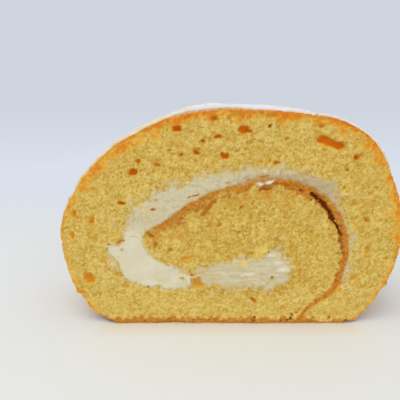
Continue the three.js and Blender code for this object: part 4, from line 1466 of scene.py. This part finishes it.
class CAKE_OT_stage(bpy.types.Operator):
    """Make the tabletop, the light and the camera"""

    bl_idname = "cake.stage"
    bl_label = "Stage"
    bl_options = {"REGISTER", "UNDO"}

    def execute(self, context):
        look = context.scene.cake_stage
        self.tabletop(context, look)
        self.surroundings(context, look)
        for name, power, place, width in LIGHTS:
            self.light(context, name, getattr(look, power), place, width)
        self.camera(context, look)
        return {"FINISHED"}

    def tabletop(self, context, look):
        bm = bmesh.new()
        bmesh.ops.create_grid(bm, x_segments=TABLE_CELLS, y_segments=TABLE_CELLS, size=TABLE_HALF)
        mesh = bpy.data.meshes.new("tabletop")
        bm.to_mesh(mesh)
        bm.free()
        mesh.materials.append(floor_material(look))
        table = bpy.data.objects.new("tabletop", mesh)
        context.scene.collection.objects.link(table)

    def surroundings(self, context, look):
        world = bpy.data.worlds.new("pale_room")
        world.use_nodes = True
        background = world.node_tree.nodes["Background"]
        background.inputs["Color"].default_value = linear(look.room_high)
        background.inputs["Strength"].default_value = look.room_strength
        context.scene.world = world
        context.scene.view_settings.view_transform = "Standard"

    def light(self, context, name, power, place, width):
        data = bpy.data.lights.new(name, "AREA")
        data.energy = power
        data.size = width
        lamp = bpy.data.objects.new(name, data)
        lamp.location = place
        lamp.rotation_euler = (LIT_PLACE - lamp.location).to_track_quat("-Z", "Y").to_euler()
        context.scene.collection.objects.link(lamp)

    def camera(self, context, look):
        data = bpy.data.cameras.new("camera")
        data.lens = look.lens
        data.clip_start, data.clip_end = CLIP
        camera = bpy.data.objects.new("camera", data)
        camera.location = look.camera_place
        camera.rotation_euler = (math.radians(90) - look.camera_pitch, 0, 0)
        context.scene.collection.objects.link(camera)
        context.scene.camera = camera


class CAKE_PT_panel(bpy.types.Panel):
    """The cake's pieces and their settings"""

    bl_idname = "CAKE_PT_panel"
    bl_label = "Swiss Roll Slice"
    bl_space_type = "VIEW_3D"
    bl_region_type = "UI"
    bl_category = "Cake"

    def draw(self, context):
        for operator in OPERATORS:
            self.layout.operator(operator.bl_idname)
        for name, group in SETTINGS.items():
            box = self.layout.box()
            box.label(text=group.__doc__)
            for title in group.__annotations__:
                box.prop(getattr(context.scene, name), title)


OPERATORS = (CAKE_OT_sponge, CAKE_OT_cream, CAKE_OT_sugar, CAKE_OT_crumbs, CAKE_OT_stage)
SETTINGS = {
    "cake_sponge": SpongeSettings,
    "cake_cream": CreamSettings,
    "cake_sugar": SugarSettings,
    "cake_crumbs": CrumbSettings,
    "cake_stage": StageSettings,
}


def register():
    for group in (*SETTINGS.values(), *OPERATORS, CAKE_PT_panel):
        bpy.utils.register_class(group)
    for name, group in SETTINGS.items():
        setattr(bpy.types.Scene, name, PointerProperty(type=group))


def unregister():
    for name in SETTINGS:
        delattr(bpy.types.Scene, name)
    for group in (CAKE_PT_panel, *OPERATORS[::-1], *reversed(SETTINGS.values())):
        bpy.utils.unregister_class(group)


def main():
    register()
    bpy.ops.cake.stage()
    bpy.ops.cake.sponge()
    bpy.ops.cake.cream()
    bpy.ops.cake.sugar()
    bpy.ops.cake.crumbs()


if __name__ == "__main__":
    main()
